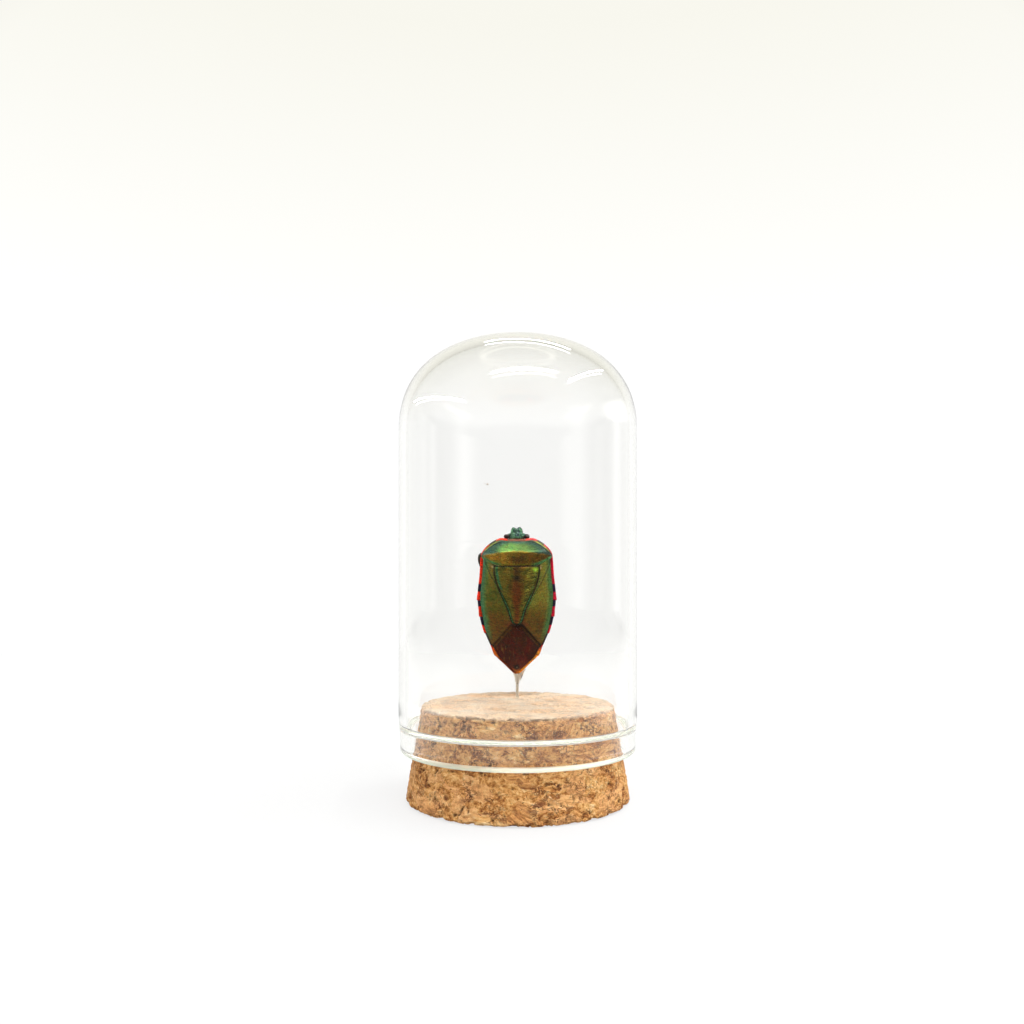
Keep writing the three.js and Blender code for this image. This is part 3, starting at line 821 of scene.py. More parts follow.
shield_masks = {
    "slope": lambda x, y, z: ramp(y - crease(x), -0.6, 0.35),
    "toward_sides": lambda x, y, z: ramp(abs(x), 1.8, 4.6) + 0.9 * ramp(y, 22.3, 23.3),
    "glow": crease_highlight_mask,
    "dark_patch": lambda x, y, z: bell(x, 0, 1.2) * bell(y, 20.0, 0.7),
    "green_hem": lambda x, y, z: bell(from_rear(x, y), 0.27, 0.25) * ramp(abs(x), 2.2, 3.2),
    "thin_hem": lambda x, y, z: bell(from_rear(x, y), 0.3, 0.09) * (abs(x) < 3.2),
    "black_line": black_line,
    "yellow_line": yellow_line,
    "red_rim": red_rim_mask,
    "black_band": lambda x, y, z: ramp(abs(x), 3.55, 3.75) * (1 - ramp(abs(x), 4.75, 4.95)),
    "right_side": lambda x, y, z: ramp(x, -3, 3),
    "breast": lambda x, y, z: 1.0 if z < -0.05 and from_front(x, y) > 0.12 and abs(x) < 6.3 else 0.0,
}
shield = bug_plate(150, 66, shield_plan, shield_top, breast_under, 0.05)
place_on_bug(shield, "bug_shield", shield_finish, ["shield"], shield_masks)

# ---------------------------------------------------------------------------------------------
# Scutellum. The long triangular plate on the back, grown from the thorax and lying over the wings'
# inner edges. It is bronze, with green margins and a black spot near its base.
# ---------------------------------------------------------------------------------------------
SCUTELLUM_TIP = 8.85
SCUTELLUM_BASE = 19.04
SCUTELLUM_THICK = 0.4
scutellum_half = through([
    (8.85, 0.35), (9.1, 0.74), (9.9, 1.06), (11.45, 1.54), (13.1, 2.29), (15.2, 3.2), (16.2, 3.56),
    (18, 3.93), (19.3, 3.9),
])


def from_side(x, y):
    return scutellum_half(y) - abs(x)


def scutellum_plan(u, v):
    y = mix(SCUTELLUM_TIP, SCUTELLUM_BASE, (v + 1) / 2)
    return u * scutellum_half(y), y


def scutellum_top(x, y):
    """A raised, slightly wavy plate with a groove along each side."""
    raised = 0.14 * bulge(x, scutellum_half(y) + 0.02, 3, 1)
    groove = 0.05 * bell(from_side(x, y), 0.42, 0.16)
    wave = 0.03 * noise.noise(Vector((x * 0.7, y * 2.4, 3))) * ramp(from_side(x, y), 0, 0.8)
    return back_top(x, y) + raised - groove + wave


def scutellum_under(x, y):
    return back_top(x, y) - SCUTELLUM_THICK


scutellum_finish, tree, shader, where = new_material("scutellum_shell")
skin = shell_skin(tree, where, 3200, 0.95)
patches = grain(tree, where, 650)
swirl = swing(tree, patches, 1.2)
olive = tinted(tree, (0.11, 0.11, 0.014), (0.2, 0.155, 0.02), remapped(tree, patches, 0.38, 0.62))
# Painted sheen: greener where the surface turns away from the eye.
olive = tinted(tree, olive, (0.11, 0.17, 0.03), remapped(tree, skin["Tilt"], 0.1, 0.5))
heart = math_of(tree, "ADD", attribute(tree, "heart"), swirl)
colour = tinted(tree, olive, (0.16, 0.05, 0.009), remapped(tree, heart, 0.15, 0.9))
hem = math_of(tree, "ADD", attribute(tree, "hem"), swirl)
colour = tinted(tree, colour, (0.05, 0.19, 0.075), remapped(tree, hem, 0.35, 0.8))
colour = tinted(tree, colour, (0.5, 0.24, 0.05), attribute(tree, "base_glint"))
# Painted highlight: lime glints on the ripples' crests on the lit right side.
crests = remapped(tree, skin["Shimmer"], 0.48, 0.6)
crest_glint = math_of(tree, "MULTIPLY", attribute(tree, "crest_glints"), crests)
colour = tinted(tree, colour, (0.42, 0.44, 0.07), crest_glint)
# Painted highlight at the right corner of the base.
colour = tinted(tree, colour, (0.5, 0.85, 0.06), attribute(tree, "corner_highlight"))
spot = math_of(tree, "MULTIPLY_ADD", swirl, 0.8, attribute(tree, "spot"))
colour = tinted(tree, colour, (0.012, 0.008, 0.006), remapped(tree, spot, 0.15, 0.95, 0.0, 0.92))
colour = tinted(tree, colour, (0.008, 0.009, 0.016), attribute(tree, "outline"))
shell_finish(tree, shader, colour, skin, 0.9, 0.33)


def heart_mask(x, y, z):
    """The warm middle, fading toward the base."""
    return bell(x, 0, 0.32 * scutellum_half(y) + 0.2) * (1 - 0.6 * ramp(y, 15, 18))


def hem_mask(x, y, z):
    """The green margin, thin toward the tip, wide and soft toward the base, stronger at the left."""
    thin = (1 - ramp(from_side(x, y), 0.17, 0.27)) * (1 - ramp(y, 13.5, 15.5))
    wide = bell(from_side(x, y), 0.42, 0.3) * ramp(y, 14, 15.5) * (0.9 if x < 0 else 0.5)
    return max(thin, wide)


def spot_mask(x, y, z):
    return bell(x, 0, 0.75) * max(bell(y, 16.85, 0.62), 0.66 * bell(y, 17.9, 0.9))


def base_glint(x, y, z):
    return 0.6 * bell(y, 18.78, 0.08) * ramp(x, 0.2, 0.8) * (1 - ramp(x, 2.6, 3.0))


def crest_glints(x, y, z):
    upper = bell(x, 2.5, 0.7) * bell(y, 17.4, 0.9)
    lower = 0.8 * bell(x, scutellum_half(y) - 1.1, 0.4) * bell(y, 14.8, 1.0)
    return max(upper, lower)


def outline_mask(x, y, z):
    side = from_side(x, y)
    line = 0.85 * bell(side, mix(0.3, 0.06, ramp(y, 13, 15.5)), 0.075)
    return max(line, 1 - ramp(side, -0.02, 0.05), ramp(y, 18.82, 18.9))


scutellum_masks = {
    "heart": heart_mask,
    "hem": hem_mask,
    "spot": spot_mask,
    "corner_highlight": lambda x, y, z: bell(x, 3.3, 0.42) * bell(y, 18.4, 0.36),
    "base_glint": base_glint,
    "crest_glints": crest_glints,
    "outline": outline_mask,
}
scutellum = bug_plate(124, 130, scutellum_plan, scutellum_top, scutellum_under, 0.05)
place_on_bug(
    scutellum, "bug_scutellum", scutellum_finish, ["scutellum"], scutellum_masks
)

# ---------------------------------------------------------------------------------------------
# Fore wings. Leathery and pitted from the shoulder to a slanted line, and a thin veined membrane
# beyond it. The membranes cross over the tail, the left on top. A groove parts off a strip beside the
# scutellum.
# ---------------------------------------------------------------------------------------------
WING_TAIL = 0.55
WING_FRONT_INNER = 19.12
WING_FRONT_OUTER = 20.45
WING_THICK = 0.28
MEMBRANE_THICK = 0.22
MEMBRANE_DROP = 0.26
WINGS_CROSS = 8.7
left_reach = through([(0.9, 0.1), (1.6, 1.4), (3.2, 2.95), (5.1, 3.5), (7, 1.7), (7.9, 0.2), (8.7, -0.3)])
right_reach = through([(0.9, 0), (2.5, -1.2), (6, -1), (8.1, -0.15), (8.7, 0.3)])


def membrane_line(x):
    """The slanted line where the leathery part ends."""
    return 8.75 - 1.12 * max(0, abs(x) - 1.0)


def past_line(x, y):
    """0 on the leathery part, 1 on the membrane."""
    return ramp(membrane_line(x) - y, -0.12, 0.12)


def strip_line(x, y):
    """Half width at the groove that parts off the strip beside the scutellum."""
    start, end, power = (15.2, 5.45, 1.2) if x < 0 else (11.6, 5.8, 2.0)
    share = min(max((y - start) / (19.3 - start), 0.0), 1.0)
    return mix(scutellum_half(y), end, share**power)


def make_wing(side):
    """One wing; side is -1 for the left, which lies on top, and 1 for the right."""
    on_top = side < 0
    reach = left_reach if on_top else right_reach

    def inner(y):
        return reach(y) if y < WINGS_CROSS else side * (scutellum_half(y) + 0.16)

    def plan(u, v):
        along = (v + 1) / 2
        out = math.sin((u + 1) / 2 * math.pi / 2)
        inner_y = mix(WING_TAIL, WING_FRONT_INNER, along)
        outer_y = mix(WING_TAIL, WING_FRONT_OUTER, along)
        x = mix(inner(inner_y), side * wing_edge(outer_y), out)
        return x, mix(inner_y, outer_y, out)

    def sunk(x, y):
        return 0 if on_top else past_line(x, y) * MEMBRANE_DROP

    def top(x, y):
        groove = 0.09 * bell(abs(x), strip_line(x, y), 0.09) * ramp(y, 15.2 if x < 0 else 12, 16.0)
        step = 0.1 * past_line(x, y) * ramp(abs(x), 0.3, 0.9)
        ridge = 0.09 * bell(y, membrane_line(x) + 0.12, 0.16) * ramp(abs(x), 0.6, 1.2)
        fan = 8.0 * math.atan2(side * x - 0.3, 12.5 - y)
        vein = 0.03 * bell(math.sin(fan * 2.1), 0, 0.22) * past_line(x, y)
        dents = 0.05 * noise.noise(Vector((x * 0.45, y * 0.4, side * 5)))
        costa = 0.06 * bell(wing_edge(y) - abs(x), 0.75, 0.18) * ramp(y, 9, 11)
        return back_top(x, y) - sunk(x, y) - groove - step + ridge + vein + dents - costa

    def bottom(x, y):
        return back_top(x, y) - sunk(x, y) - mix(WING_THICK, MEMBRANE_THICK, past_line(x, y))

    return bug_plate(80, 210, plan, top, bottom, 0.04)


wing_finish, tree, shader, where = new_material("wing_leather")
skin = shell_skin(tree, where, 3600, 0.55)
patches = grain(tree, where, 500)
swirl = swing(tree, patches, 1.2)
olive = tinted(tree, (0.1, 0.12, 0.014), (0.2, 0.145, 0.02), remapped(tree, patches, 0.38, 0.62))
# Painted sheen: greener where the surface turns away from the eye.
olive = tinted(tree, olive, (0.08, 0.2, 0.04), remapped(tree, skin["Tilt"], 0.12, 0.55))
olive = tinted(tree, olive, (0.29, 0.25, 0.036), attribute(tree, "lit_side", 0.85))
rear = math_of(tree, "ADD", attribute(tree, "rearward"), swirl)
colour = tinted(tree, olive, (0.15, 0.075, 0.01), remapped(tree, rear, 0.2, 1.0))
costal = math_of(tree, "MULTIPLY_ADD", swirl, 0.9, attribute(tree, "costal"))
green = tinted(tree, (0.1, 0.21, 0.045), (0.07, 0.19, 0.095), attribute(tree, "outermost"))
colour = tinted(tree, colour, green, remapped(tree, costal, 0.2, 0.9))
hem = attribute(tree, "inner_hem")
hem = math_of(tree, "MULTIPLY_ADD", swirl, hem, hem)
colour = tinted(tree, colour, (0.07, 0.22, 0.06), math_of(tree, "MULTIPLY", hem, 0.9))
colour = tinted(tree, colour, (0.2, 0.045, 0.02), attribute(tree, "tip_glow", 0.6))
# The strip's groove is darkened; the line beside the scutellum is painted shade cast by its edge.
colour = tinted(tree, colour, (0.015, 0.01, 0.008), attribute(tree, "groove", 0.85))
veins = grain(tree, stretched(tree, where, (3000, 3000, 600)), 1.0, 3.0)
streaks = math_of(tree, "MULTIPLY", remapped(tree, veins, 0.56, 0.72, 0.0, 0.8), attribute(tree, "streaky"))
skinny = tinted(tree, (0.088, 0.007, 0.001), (0.055, 0.014, 0.002), remapped(tree, patches, 0.4, 0.6))
skinny = tinted(tree, skinny, (0.24, 0.13, 0.025), streaks)
skinny = tinted(tree, skinny, (0.13, 0.022, 0.006), attribute(tree, "tip"))
skinny = tinted(tree, skinny, (0.13, 0.08, 0.012), attribute(tree, "line_strip"))
membrane = attribute(tree, "membrane")
colour = tinted(tree, colour, skinny, membrane)
colour = tinted(tree, colour, (0.42, 0.13, 0.02), attribute(tree, "tail_end"))
colour = tinted(tree, colour, (0.01, 0.008, 0.006), attribute(tree, "tail_spot"))
colour = tinted(tree, colour, (0.35, 0.3, 0.2), attribute(tree, "tail_glint"))
colour = tinted(tree, colour, (0.012, 0.012, 0.008), attribute(tree, "dark_line", 0.9))
colour = tinted(tree, colour, (0.6, 0.4, 0.2), attribute(tree, "pale_corner"))
metal = remapped(tree, membrane, 0.0, 1.0, 0.86, 0.96)
gloss = remapped(tree, membrane, 0.0, 1.0, 0.22, 0.06)
shell_finish(tree, shader, colour, skin, metal, 0.37, gloss)


def from_edge(x, y):
    return wing_edge(y) - abs(x)


def costal_mask(x, y, z):
    """The green outer margin, fading toward the tail."""
    return (1 - ramp(from_edge(x, y), 0.3, 1.5)) * (0.15 + 0.85 * ramp(y, 5, 8.5))


def inner_hem(x, y, z):
    line = bell(abs(x), scutellum_half(y) + 0.4, 0.12) * ramp(y, 10.5, 12) * (1 - ramp(y, 16.5, 18))
    return line * (0.3 if x < 0 else 0.9)


def groove_and_edge_shade(x, y, z):
    strip = bell(abs(x), strip_line(x, y), 0.09) * ramp(y, 15.4 if x < 0 else 12.2, 16.0)
    # Painted shade where the scutellum's edge shades the wing.
    edge_shade = 0.7 * bell(abs(x), scutellum_half(y) + 0.17, 0.065) if y > 8.9 else 0.0
    return max(strip, edge_shade)


def dark_line(x, y, z):
    """Two dark lines where the leather ends, the second one thin."""
    first = 0.75 * bell(y, membrane_line(x), 0.16) if x < 0 else bell(y, membrane_line(x), 0.26)
    second = 0.75 * bell(y, membrane_line(x) - 0.95, 0.12) * ramp(abs(x), 0.8, 1.3)
    return max(first, second) * (1 - ramp(abs(x), 4.2, 4.8))


def line_strip(x, y, z):
    """The paler strip between the two dark lines."""
    ends = ramp(abs(x), 0.7, 1.2) * (1 - ramp(abs(x), 3.6, 4.4))
    return 0.6 * bell(y, membrane_line(x) - 0.5, 0.28) * ends


def pale_corner(x, y, z):
    """A pale chip at the wing's inner corner, slanted on the left wing."""
    if x > 0:
        return bell(x, 4.2 + 0.2 * (y - 18.75), 0.2) * bell(y, 18.72, 0.34)
    return bell(-x, 4.14 + 1.1 * (y - 18.75), 0.2) * bell(y, 18.85, 0.34)


wing_masks = {
    "lit_side": lambda x, y, z: ramp(x, -1, 4) * ramp(y, 8.5, 13),
    "rearward": lambda x, y, z: 1 - ramp(y, 8.5, 15),
    "costal": costal_mask,
    "outermost": lambda x, y, z: (1 - ramp(from_edge(x, y), 0.2, 0.9)) * (1 - 0.6 * ramp(x, 0, 1)),
    "inner_hem": inner_hem,
    "groove": groove_and_edge_shade,
    "membrane": lambda x, y, z: past_line(x, y),
    "streaky": lambda x, y, z: 0.35 + 0.65 * (1 - ramp(x, -2.5, 1.5)),
    "dark_line": dark_line,
    "line_strip": line_strip,
    "tip": lambda x, y, z: 1 - ramp(y, 1.2, 3.4),
    "tip_glow": lambda x, y, z: bell(abs(x), 1.1, 0.9) * bell(y, 8.9, 0.5),
    "tail_end": lambda x, y, z: 1 - ramp(y, 0.7, 1.15),
    "tail_spot": lambda x, y, z: math.exp(-((x / 0.55) ** 2 + ((y - 1.25) / 0.5) ** 2) ** 2),
    "tail_glint": lambda x, y, z: 0.8 * bell(x, 0.05, 0.12) * bell(y, 1.2, 0.12),
    "pale_corner": pale_corner,
}
for side, word in ((-1, "left"), (1, "right")):
    wing = make_wing(side)
    nodes = [f"forewing_{word}"]
    place_on_bug(wing, f"bug_forewing_{word}", wing_finish, nodes, wing_masks)

# ---------------------------------------------------------------------------------------------
# Head. A wrinkled blue-green shell that grows from the shield's front edge and ends in two round
# lobes. A dark, finely faceted eye stands out like a bead at each side.
# ---------------------------------------------------------------------------------------------
SKULL_VOXEL = 0.045
FOLD_DEPTH = 0.07
EYE_OUT = 1.76
EYE_ALONG = 24.25
EYE_RADII = (0.56, 0.44, 0.48)


def egg(bm, centre, radii):
    """Adds an egg-shaped lump."""
    grown = bmesh.ops.create_icosphere(bm, subdivisions=4, radius=1)
    bmesh.ops.scale(bm, vec=radii, verts=grown["verts"])
    bmesh.ops.translate(bm, vec=centre, verts=grown["verts"])


def fused(bm, voxel):
    """Melts overlapping closed shapes into one skin."""
    mesh = bpy.data.meshes.new("melting")
    bm.to_mesh(mesh)
    bm.free()
    block = bpy.data.objects.new("melting", mesh)
    bpy.context.scene.collection.objects.link(block)
    melt = block.modifiers.new("melt", "REMESH")
    melt.mode = "VOXEL"
    melt.voxel_size = voxel
    soften = block.modifiers.new("soften", "SMOOTH")
    soften.factor = 0.5
    soften.iterations = 4
    view = bpy.context.evaluated_depsgraph_get()
    melted = bmesh.new()
    melted.from_mesh(block.evaluated_get(view).to_mesh())
    bpy.data.objects.remove(block)
    bpy.data.meshes.remove(mesh)
    return melted


skull = bmesh.new()
egg(skull, (0, 24.05, -0.1), (1.42, 1.35, 1.12))
egg(skull, (0, 24.85, 0.16), (0.32, 0.85, 0.5))
for side in (-1, 1):
    egg(skull, (side * 0.5, 25.02, 0.05), (0.6, 0.92, 0.52))
    egg(skull, (side * 1.2, 24.35, 0.0), (0.6, 0.5, 0.55))
skull = fused(skull, SKULL_VOXEL)
skull.normal_update()
for v in skull.verts:
    x, y, z = v.co
    folds = noise.ridged_multi_fractal(Vector((x * 1.5, y * 0.8, z * 1.2 + 5)), 0.9, 2.2, 3, 0.9, 2.0)
    v.co += v.normal * FOLD_DEPTH * (folds - 1.0)
head_finish, tree, shader, where = new_material("head_shell")
patches = grain(tree, where, 3200, 4.0, 0.65)
colour = tinted(tree, (0.02, 0.1, 0.045), (0.14, 0.3, 0.15), remapped(tree, patches, 0.4, 0.6))
folded = stretched(tree, where, (2600, 2600, 1500))
inputs = {"Vector": folded, "Scale": 1.0, "Detail": 2.0, "Distortion": 1.0}
wrinkles = add_node(tree, "ShaderNodeTexNoise", inputs).outputs["Fac"]
from_fold = math_of(tree, "ABSOLUTE", swing(tree, wrinkles, 1.0))
valleys = remapped(tree, from_fold, 0.03, 0.09, 1.0, 0.0)
valleys = math_of(tree, "MAXIMUM", valleys, attribute(tree, "furrow"))
# Painted shade: the wrinkles' valleys and the furrow between the lobes are darkened.
colour = tinted(tree, colour, (0.01, 0.01, 0.03), math_of(tree, "MULTIPLY", valleys, 0.92))
set_inputs(tree, shader, {
    "Base Color": tinted(tree, colour, (0.16, 0.05, 0.02), attribute(tree, "neck")),
    "Metallic": 0.75,
    "Roughness": 0.36,
    "Specular IOR Level": 0.25,
    "Normal": bumped(tree, math_of(tree, "MULTIPLY", valleys, -1.0), 0.0001, 0.9),
})
head_masks = {
    "furrow": lambda x, y, z: bell(abs(x), 0.3, 0.15) * ramp(y, 24.0, 24.3) * (z > -0.1),
    "neck": lambda x, y, z: 0.8 * (1 - ramp(y, 23.75, 23.95)),
}
place_on_bug(skull, "bug_head", head_finish, ["head"], head_masks)

eyes = bmesh.new()
for side in (-1, 1):
    egg(eyes, (side * EYE_OUT, EYE_ALONG, 0.2), EYE_RADII)
eye_finish, tree, shader, where = new_material("eye_bead")
facets = add_node(tree, "ShaderNodeTexVoronoi", {"Vector": where, "Scale": 16000.0}).outputs["Distance"]
sheen = remapped(tree, grain(tree, where, 1200, 2.0), 0.45, 0.7)
set_inputs(tree, shader, {
    "Base Color": tinted(tree, (0.008, 0.006, 0.006), (0.045, 0.02, 0.014), sheen),
    "Roughness": remapped(tree, facets, 0.0, 0.6, 0.2, 0.3),
    "Specular IOR Level": 0.3,
    "Normal": bumped(tree, facets, 0.00001, 0.4),
})
place_on_bug(eyes, "bug_eyes", eye_finish, [])

# ---------------------------------------------------------------------------------------------
# Legs, beak and feelers. Thin jointed rods of dark shell that grow from the breast and the head, and
# that dried folded against the underside. The left middle leg is bent up, so that its knee shows past
# the shield's edge.
# ---------------------------------------------------------------------------------------------
BEAK = [(0, 24.7, -0.6, 0.3), (0, 24.1, -1.9, 0.28), (0, 21.4, -3.2, 0.2), (0, 17.6, -3.8, 0.13)]
FEELER = [
    (0.9, 24.6, -0.6, 0.18), (1.75, 24.4, -3.2, 0.15), (2.9, 22.6, -4.05, 0.13),
    (3.9, 18.6, -4.35, 0.12), (4.3, 14.6, -4.2, 0.1),
]
FRONT_LEG = [
    (1.35, 20.2, -2.6, 0.5), (2.2, 20.6, -3.4, 0.44), (4.4, 21.5, -3.2, 0.3), (4.5, 22.2, -3.2, 0.24),
    (2.2, 22.9, -3.5, 0.19), (1.15, 23.8, -3.3, 0.11),
]
MIDDLE_LEG = [
    (1.5, 18, -2.8, 0.5), (2.4, 17.8, -3.6, 0.46), (5.7, 16.9, -3.1, 0.32), (5.9, 16.2, -3.1, 0.25),
    (5.2, 12.7, -3.4, 0.19), (4.6, 11.3, -3.5, 0.11),
]
HIND_LEG = [
    (1.5, 16.5, -2.8, 0.52), (2.2, 15.4, -4, 0.5), (3.9, 10.9, -3.9, 0.34), (4.2, 10.1, -3.8, 0.26),
    (4.3, 5.7, -3.2, 0.19), (4, 4.1, -2.9, 0.11),
]
RAISED_LEG = [
    (1.5, 18, -2.8, 0.5), (2.6, 18.5, -3.5, 0.46), (6.35, 21.3, -2.05, 0.37), (6.72, 20.8, -1.95, 0.32),
    (6.3, 18.4, -2.4, 0.22), (5.3, 14.5, -3.2, 0.12),
]


def rod(bm, places, side):
    """A round rod through [x, y, z, radius] places, closed at both ends."""
    curve = bpy.data.curves.new("rod", "CURVE")
    curve.dimensions = "3D"
    curve.bevel_depth = 1.0
    curve.bevel_resolution = 3
    curve.resolution_u = 8
    curve.use_fill_caps = True
    line = curve.splines.new("BEZIER")
    line.bezier_points.add(len(places) - 1)
    for point, (x, y, z, radius) in zip(line.bezier_points, places):
        point.co = (side * x, y, z)
        point.radius = radius
        point.handle_left_type = point.handle_right_type = "AUTO"
    shape = bpy.data.objects.new("rod", curve)
    bpy.context.scene.collection.objects.link(shape)
    view = bpy.context.evaluated_depsgraph_get()
    bm.from_mesh(shape.evaluated_get(view).to_mesh())
    bpy.data.objects.remove(shape)
    bpy.data.curves.remove(curve)


def jointed(bm, places, side, waist=0.7):
    """A row of straight segments that narrow where they meet."""
    for first, last in zip(places, places[1:]):
        middle = [mix(a, b, 0.5) for a, b in zip(first, last)]
        rod(bm, [(*first[:3], first[3] * waist), middle, (*last[:3], last[3] * waist)], side)


def leg(bm, places, side):
    """Thigh, shin, a foot of three short segments, and its two claws."""
    hip, thigh, knee, shin, ankle, toe = places
    rod(bm, [hip, thigh, knee], side)
    rod(bm, [(*knee[:3], knee[3] * 0.8), shin, (*ankle[:3], ankle[3] * 1.15)], side)
    foot = [[mix(a, b, share / 3) for a, b in zip(ankle, toe)] for share in range(4)]
    jointed(bm, foot, side)
    reach = (Vector(toe[:3]) - Vector(ankle[:3])).normalized() * 0.22
    for spread in (-0.12, 0.12):
        tip = Vector(toe[:3]) + reach + Vector((spread, 0, -0.08))
        rod(bm, [toe[:3] + (0.06,), (*tip, 0.02)], side)


limbs = bmesh.new()
rod(limbs, BEAK, 1)
for side in (-1, 1):
    jointed(limbs, FEELER, side)
    leg(limbs, FRONT_LEG, side)
    leg(limbs, RAISED_LEG if side < 0 else MIDDLE_LEG, side)
    leg(limbs, HIND_LEG, side)
bmesh.ops.remove_doubles(limbs, verts=limbs.verts, dist=1e-4)
bmesh.ops.recalc_face_normals(limbs, faces=limbs.faces)
limb_finish, tree, shader, where = new_material("leg_shell")
patches = grain(tree, where, 1500)
colour = tinted(tree, (0.03, 0.034, 0.03), (0.07, 0.06, 0.04), remapped(tree, patches, 0.4, 0.65))
shell_finish(tree, shader, colour, shell_skin(tree, where, 5200, 0.7), 0.4, 0.36)
place_on_bug(limbs, "bug_legs", limb_finish, [])

# ---------------------------------------------------------------------------------------------
# Glue. A clear drop that holds the bug's tail to the pin. It ran down the wire before it set, and a
# thin flap is left where it was pulled.
# ---------------------------------------------------------------------------------------------
GLUE_FOOT = 18.4
GLUE_TOP = 21.7
GLUE_NARROW = 0.34
GLUE_WIDE = 0.95

glue_cone = [
    (mix(GLUE_NARROW, GLUE_WIDE, ramp(i, 0, 16)), mix(GLUE_FOOT + 0.05, GLUE_TOP - 0.7, i / 16))
    for i in range(17)
]
glue_crown = rounding(0.45, GLUE_TOP - 0.5, 0.5, 0, 90, 5)
glue_drop = turned([(0, GLUE_FOOT), (0.3, GLUE_FOOT)] + glue_cone + glue_crown + [(0, GLUE_TOP)], 40)
for v in glue_drop.verts:
    v.co += noise.noise_vector(v.co * 1.3) * 0.12
    v.co.x += PIN_X
    v.co.y += PIN_Y - 0.2 * ramp(v.co.z, 19, 20.6)
flap = bmesh.new()
bmesh.ops.create_grid(flap, x_segments=14, y_segments=18, size=1)
for v in flap.verts:
    u, w = (v.co.x + 1) / 2, (v.co.y + 1) / 2
    v.co = (
        0.35 + u * mix(0.12, 1.15, w**1.4) + 0.1 * math.sin(5 * w),
        7.6 + 0.25 * math.sin(3 * u + 2 * w),
        mix(19.2, 21.0, w) - 0.25 * u * (1 - w),
    )
bmesh.ops.solidify(flap, geom=flap.faces[:], thickness=0.07)
bmesh.ops.recalc_face_normals(flap, faces=flap.faces)
flap_mesh = bpy.data.meshes.new("flap")
flap.to_mesh(flap_mesh)
flap.free()
glue_drop.from_mesh(flap_mesh)
bpy.data.meshes.remove(flap_mesh)
glue, tree, shader, where = new_material("clear_glue")
cloud = grain(tree, where, 900, 3.0)
set_inputs(tree, shader, {
    "Base Color": tinted(tree, (1.0, 1.0, 0.97), (0.86, 0.85, 0.8), cloud),
    "Roughness": remapped(tree, cloud, 0.3, 0.7, 0.3, 0.5),
    "IOR": 1.4,
    "Transmission Weight": 0.3,
    "Normal": bumped(tree, cloud, 0.00015, 0.6),
})
place_piece(glue_drop, "glue_clear", glue, ["glue_drop"])

# ---------------------------------------------------------------------------------------------
# Studio. A white table before a bright backdrop, with thin strips of light above, and dim windows in
# the dark half of the room, behind the camera.
# ---------------------------------------------------------------------------------------------
TABLE_BACK = 0.3
CAMERA_Y = -0.1437
CAMERA_HEIGHT = 0.03596
CAMERA_LENS = 29.88

floor_bm = bmesh.new()
bmesh.ops.create_grid(floor_bm, x_segments=1, y_segments=1, size=1)
bmesh.ops.translate(floor_bm, vec=(0, TABLE_BACK - 1, 0), verts=floor_bm.verts)
floor_mesh = bpy.data.meshes.new("table_top")
floor_bm.to_mesh(floor_mesh)
floor_bm.free()
floor = bpy.data.objects.new("table_top", floor_mesh)
bpy.context.scene.collection.objects.link(floor)
paper, tree, shader, where = new_material("white_paper")
# Painted light and shade on the table: it glows of itself, darkens as painted shade toward the camera and
# to the sides, and glows a little more behind the dome and farther back.
spot = parts_of(tree, where)
off_axis = math_of(tree, "ABSOLUTE", spot["X"])
aside = math_of(tree, "SUBTRACT", off_axis, math_of(tree, "MULTIPLY", spot["Y"], 0.66))
near_side = remapped(tree, spot["Y"], -0.16, -0.09, 1.0, 0.0)
shaded = math_of(tree, "MAXIMUM", remapped(tree, aside, 0.14, 0.36), near_side)
to_camera = math_of(tree, "SUBTRACT", spot["Y"], CAMERA_Y)
off_middle = math_of(tree, "DIVIDE", off_axis, to_camera)
behind = remapped(tree, spot["Y"], -0.02, 0.03)
lift = math_of(tree, "MULTIPLY", remapped(tree, off_middle, 0.115, 0.15, 0.03, 0.0), behind)
own_glow = math_of(tree, "ADD", remapped(tree, shaded, 0.0, 1.0, 0.7, 0.02), lift)
own_glow = math_of(tree, "ADD", own_glow, remapped(tree, spot["Y"], 0.0, 0.28, 0.0, 0.1))
# Two glowing patches on the table beside the dome: painted light that shows in the glass.
patch_across = math_of(tree, "DIVIDE", math_of(tree, "SUBTRACT", off_axis, 0.108), 0.016)
patch_along = math_of(tree, "DIVIDE", spot["Y"], 0.05)
glow_patch = math_of(tree, "ADD", math_of(tree, "POWER", patch_across, 4.0), math_of(tree, "POWER", patch_along, 4.0))
glow_patch = math_of(tree, "EXPONENT", math_of(tree, "MULTIPLY", glow_patch, -1.0))
set_inputs(tree, shader, {
    "Base Color": tinted(tree, (0.13, 0.13, 0.13), (0.05, 0.05, 0.05), shaded),
    "Emission Color": (1, 1, 1, 1),
    "Emission Strength": math_of(tree, "MULTIPLY_ADD", glow_patch, 1.2, own_glow),
    "Roughness": 0.9,
    "Specular IOR Level": 0.1,
})
floor_mesh.materials.append(paper)

world = bpy.data.worlds.new("studio")
bpy.context.scene.world = world
world.use_nodes = True
sky = world.node_tree
facing = add_node(sky, "ShaderNodeTexCoord").outputs["Generated"]
ways = parts_of(sky, facing)
turn = math_of(sky, "ARCTAN2", ways["X"], math_of(sky, "MULTIPLY", ways["Y"], -1.0))


def soft_spot(value, middle, width):
    """The same bell curve as bell(), worked out by the sky's nodes."""
    off = math_of(sky, "DIVIDE", math_of(sky, "SUBTRACT", value, middle), width)
    return math_of(sky, "POWER", math.e, math_of(sky, "MULTIPLY", math_of(sky, "MULTIPLY", off, off), -1.0))


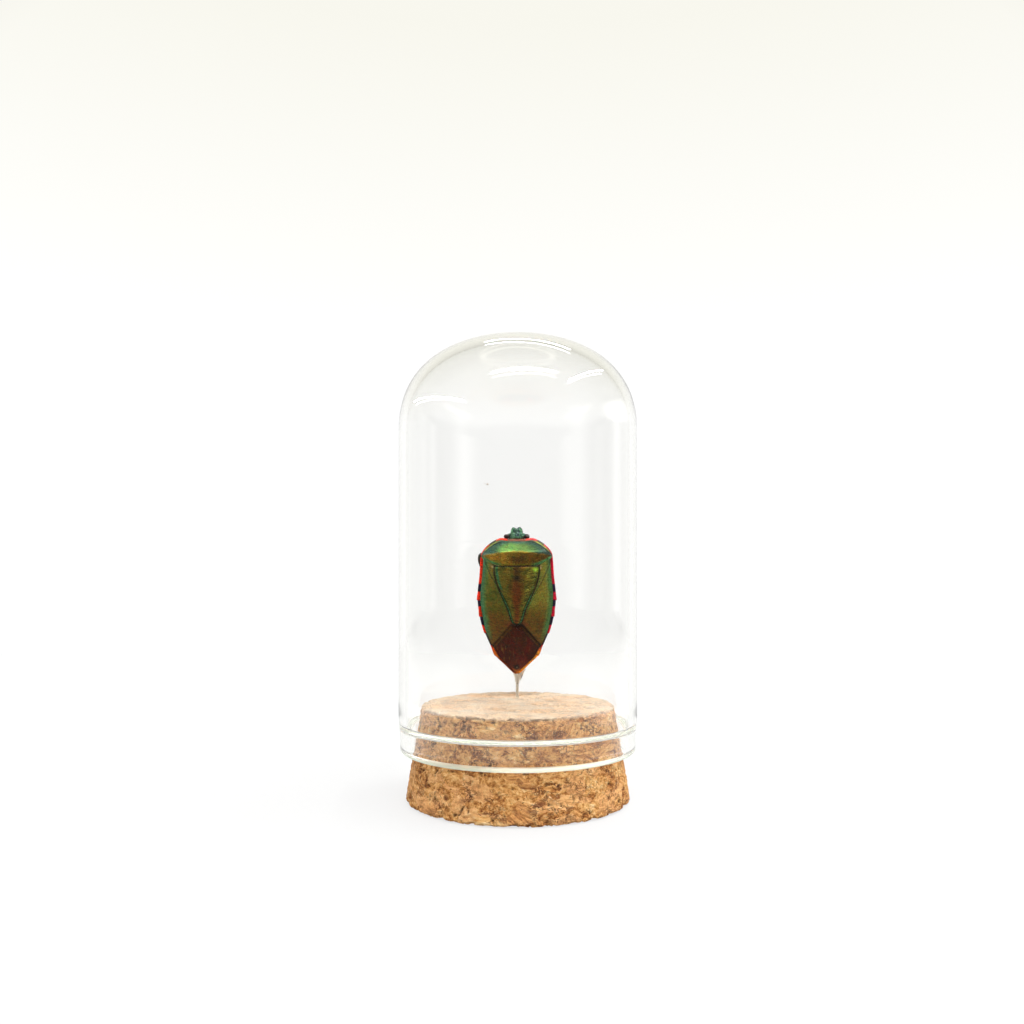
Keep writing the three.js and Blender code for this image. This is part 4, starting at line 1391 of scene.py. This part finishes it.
def window(brightness, degrees, width, low, high, glow, soft=0.1):
    """Adds a soft-edged window at an angle from the camera's side, between two heights."""
    across = soft_spot(turn, math.radians(degrees), math.radians(width))
    floor_side = remapped(sky, ways["Z"], low - soft, low)
    top_side = remapped(sky, ways["Z"], high, high + 0.08, 1.0, 0.0)
    shape = math_of(sky, "MULTIPLY", math_of(sky, "MULTIPLY", across, floor_side), top_side)
    return math_of(sky, "ADD", brightness, math_of(sky, "MULTIPLY", shape, glow))


brightness = math_of(sky, "ADD", remapped(sky, ways["Y"], 0.08, 0.75), 0.06)
brightness = math_of(sky, "ADD", brightness, soft_spot(ways["Z"], 0.94, 0.012))
brightness = window(brightness, -55, 7, -0.3, 0.2, 0.6)
brightness = window(brightness, 58, 10, -0.3, 0.26, 0.9)
brightness = window(brightness, 108, 5, -0.3, 0.22, 0.8)
brightness = window(brightness, 108, 14, 0.22, 0.3, 3.5, 0.03)
brightness = window(brightness, -100, 6, -0.3, 0.2, 0.3)
high_up = remapped(sky, ways["Z"], 0.2, 0.55)
warm_sky = tinted(sky, (1.0, 1.0, 1.0), (0.89, 0.88, 0.81), high_up)
set_inputs(sky, sky.nodes["Background"], {"Color": warm_sky, "Strength": brightness})


def softbox(name, place, aim, size, glow):
    """A rectangular lamp with an even glow; its first side lies level."""
    lamp = bpy.data.lights.new(name, "AREA")
    lamp.shape = "RECTANGLE"
    lamp.size, lamp.size_y = size
    lamp.energy = glow * math.pi * size[0] * size[1]
    stand = bpy.data.objects.new(name, lamp)
    stand.location = place
    stand.rotation_euler = (Vector(aim) - Vector(place)).to_track_quat("-Z", "Y").to_euler()
    bpy.context.scene.collection.objects.link(stand)


dome_heart = (0, 0, 0.06)
softbox("strip_back", (0.05, 0.29, 0.56), dome_heart, (0.34, 0.012), 80)
softbox("strip_front_high", (0.04, -0.27, 0.505), dome_heart, (0.46, 0.009), 155)
softbox("strip_front_low", (0.04, -0.27, 0.465), dome_heart, (0.46, 0.009), 155)
softbox("strip_right", (0.41, 0.0, 0.48), dome_heart, (0.56, 0.012), 180)
softbox("strip_left", (-0.45, -0.04, 0.258), dome_heart, (0.62, 0.009), 70)

camera_data = bpy.data.cameras.new("camera")
camera_data.lens = CAMERA_LENS
camera_data.sensor_width = 36
camera_data.shift_x = -0.0057
camera_data.shift_y = 0.0709
camera_data.clip_start = 0.005
camera = bpy.data.objects.new("camera", camera_data)
camera.location = (0, CAMERA_Y, CAMERA_HEIGHT)
camera.rotation_euler = (math.pi / 2, 0, 0)
bpy.context.scene.collection.objects.link(camera)
bpy.context.scene.camera = camera
bpy.context.scene.view_settings.view_transform = "Standard"
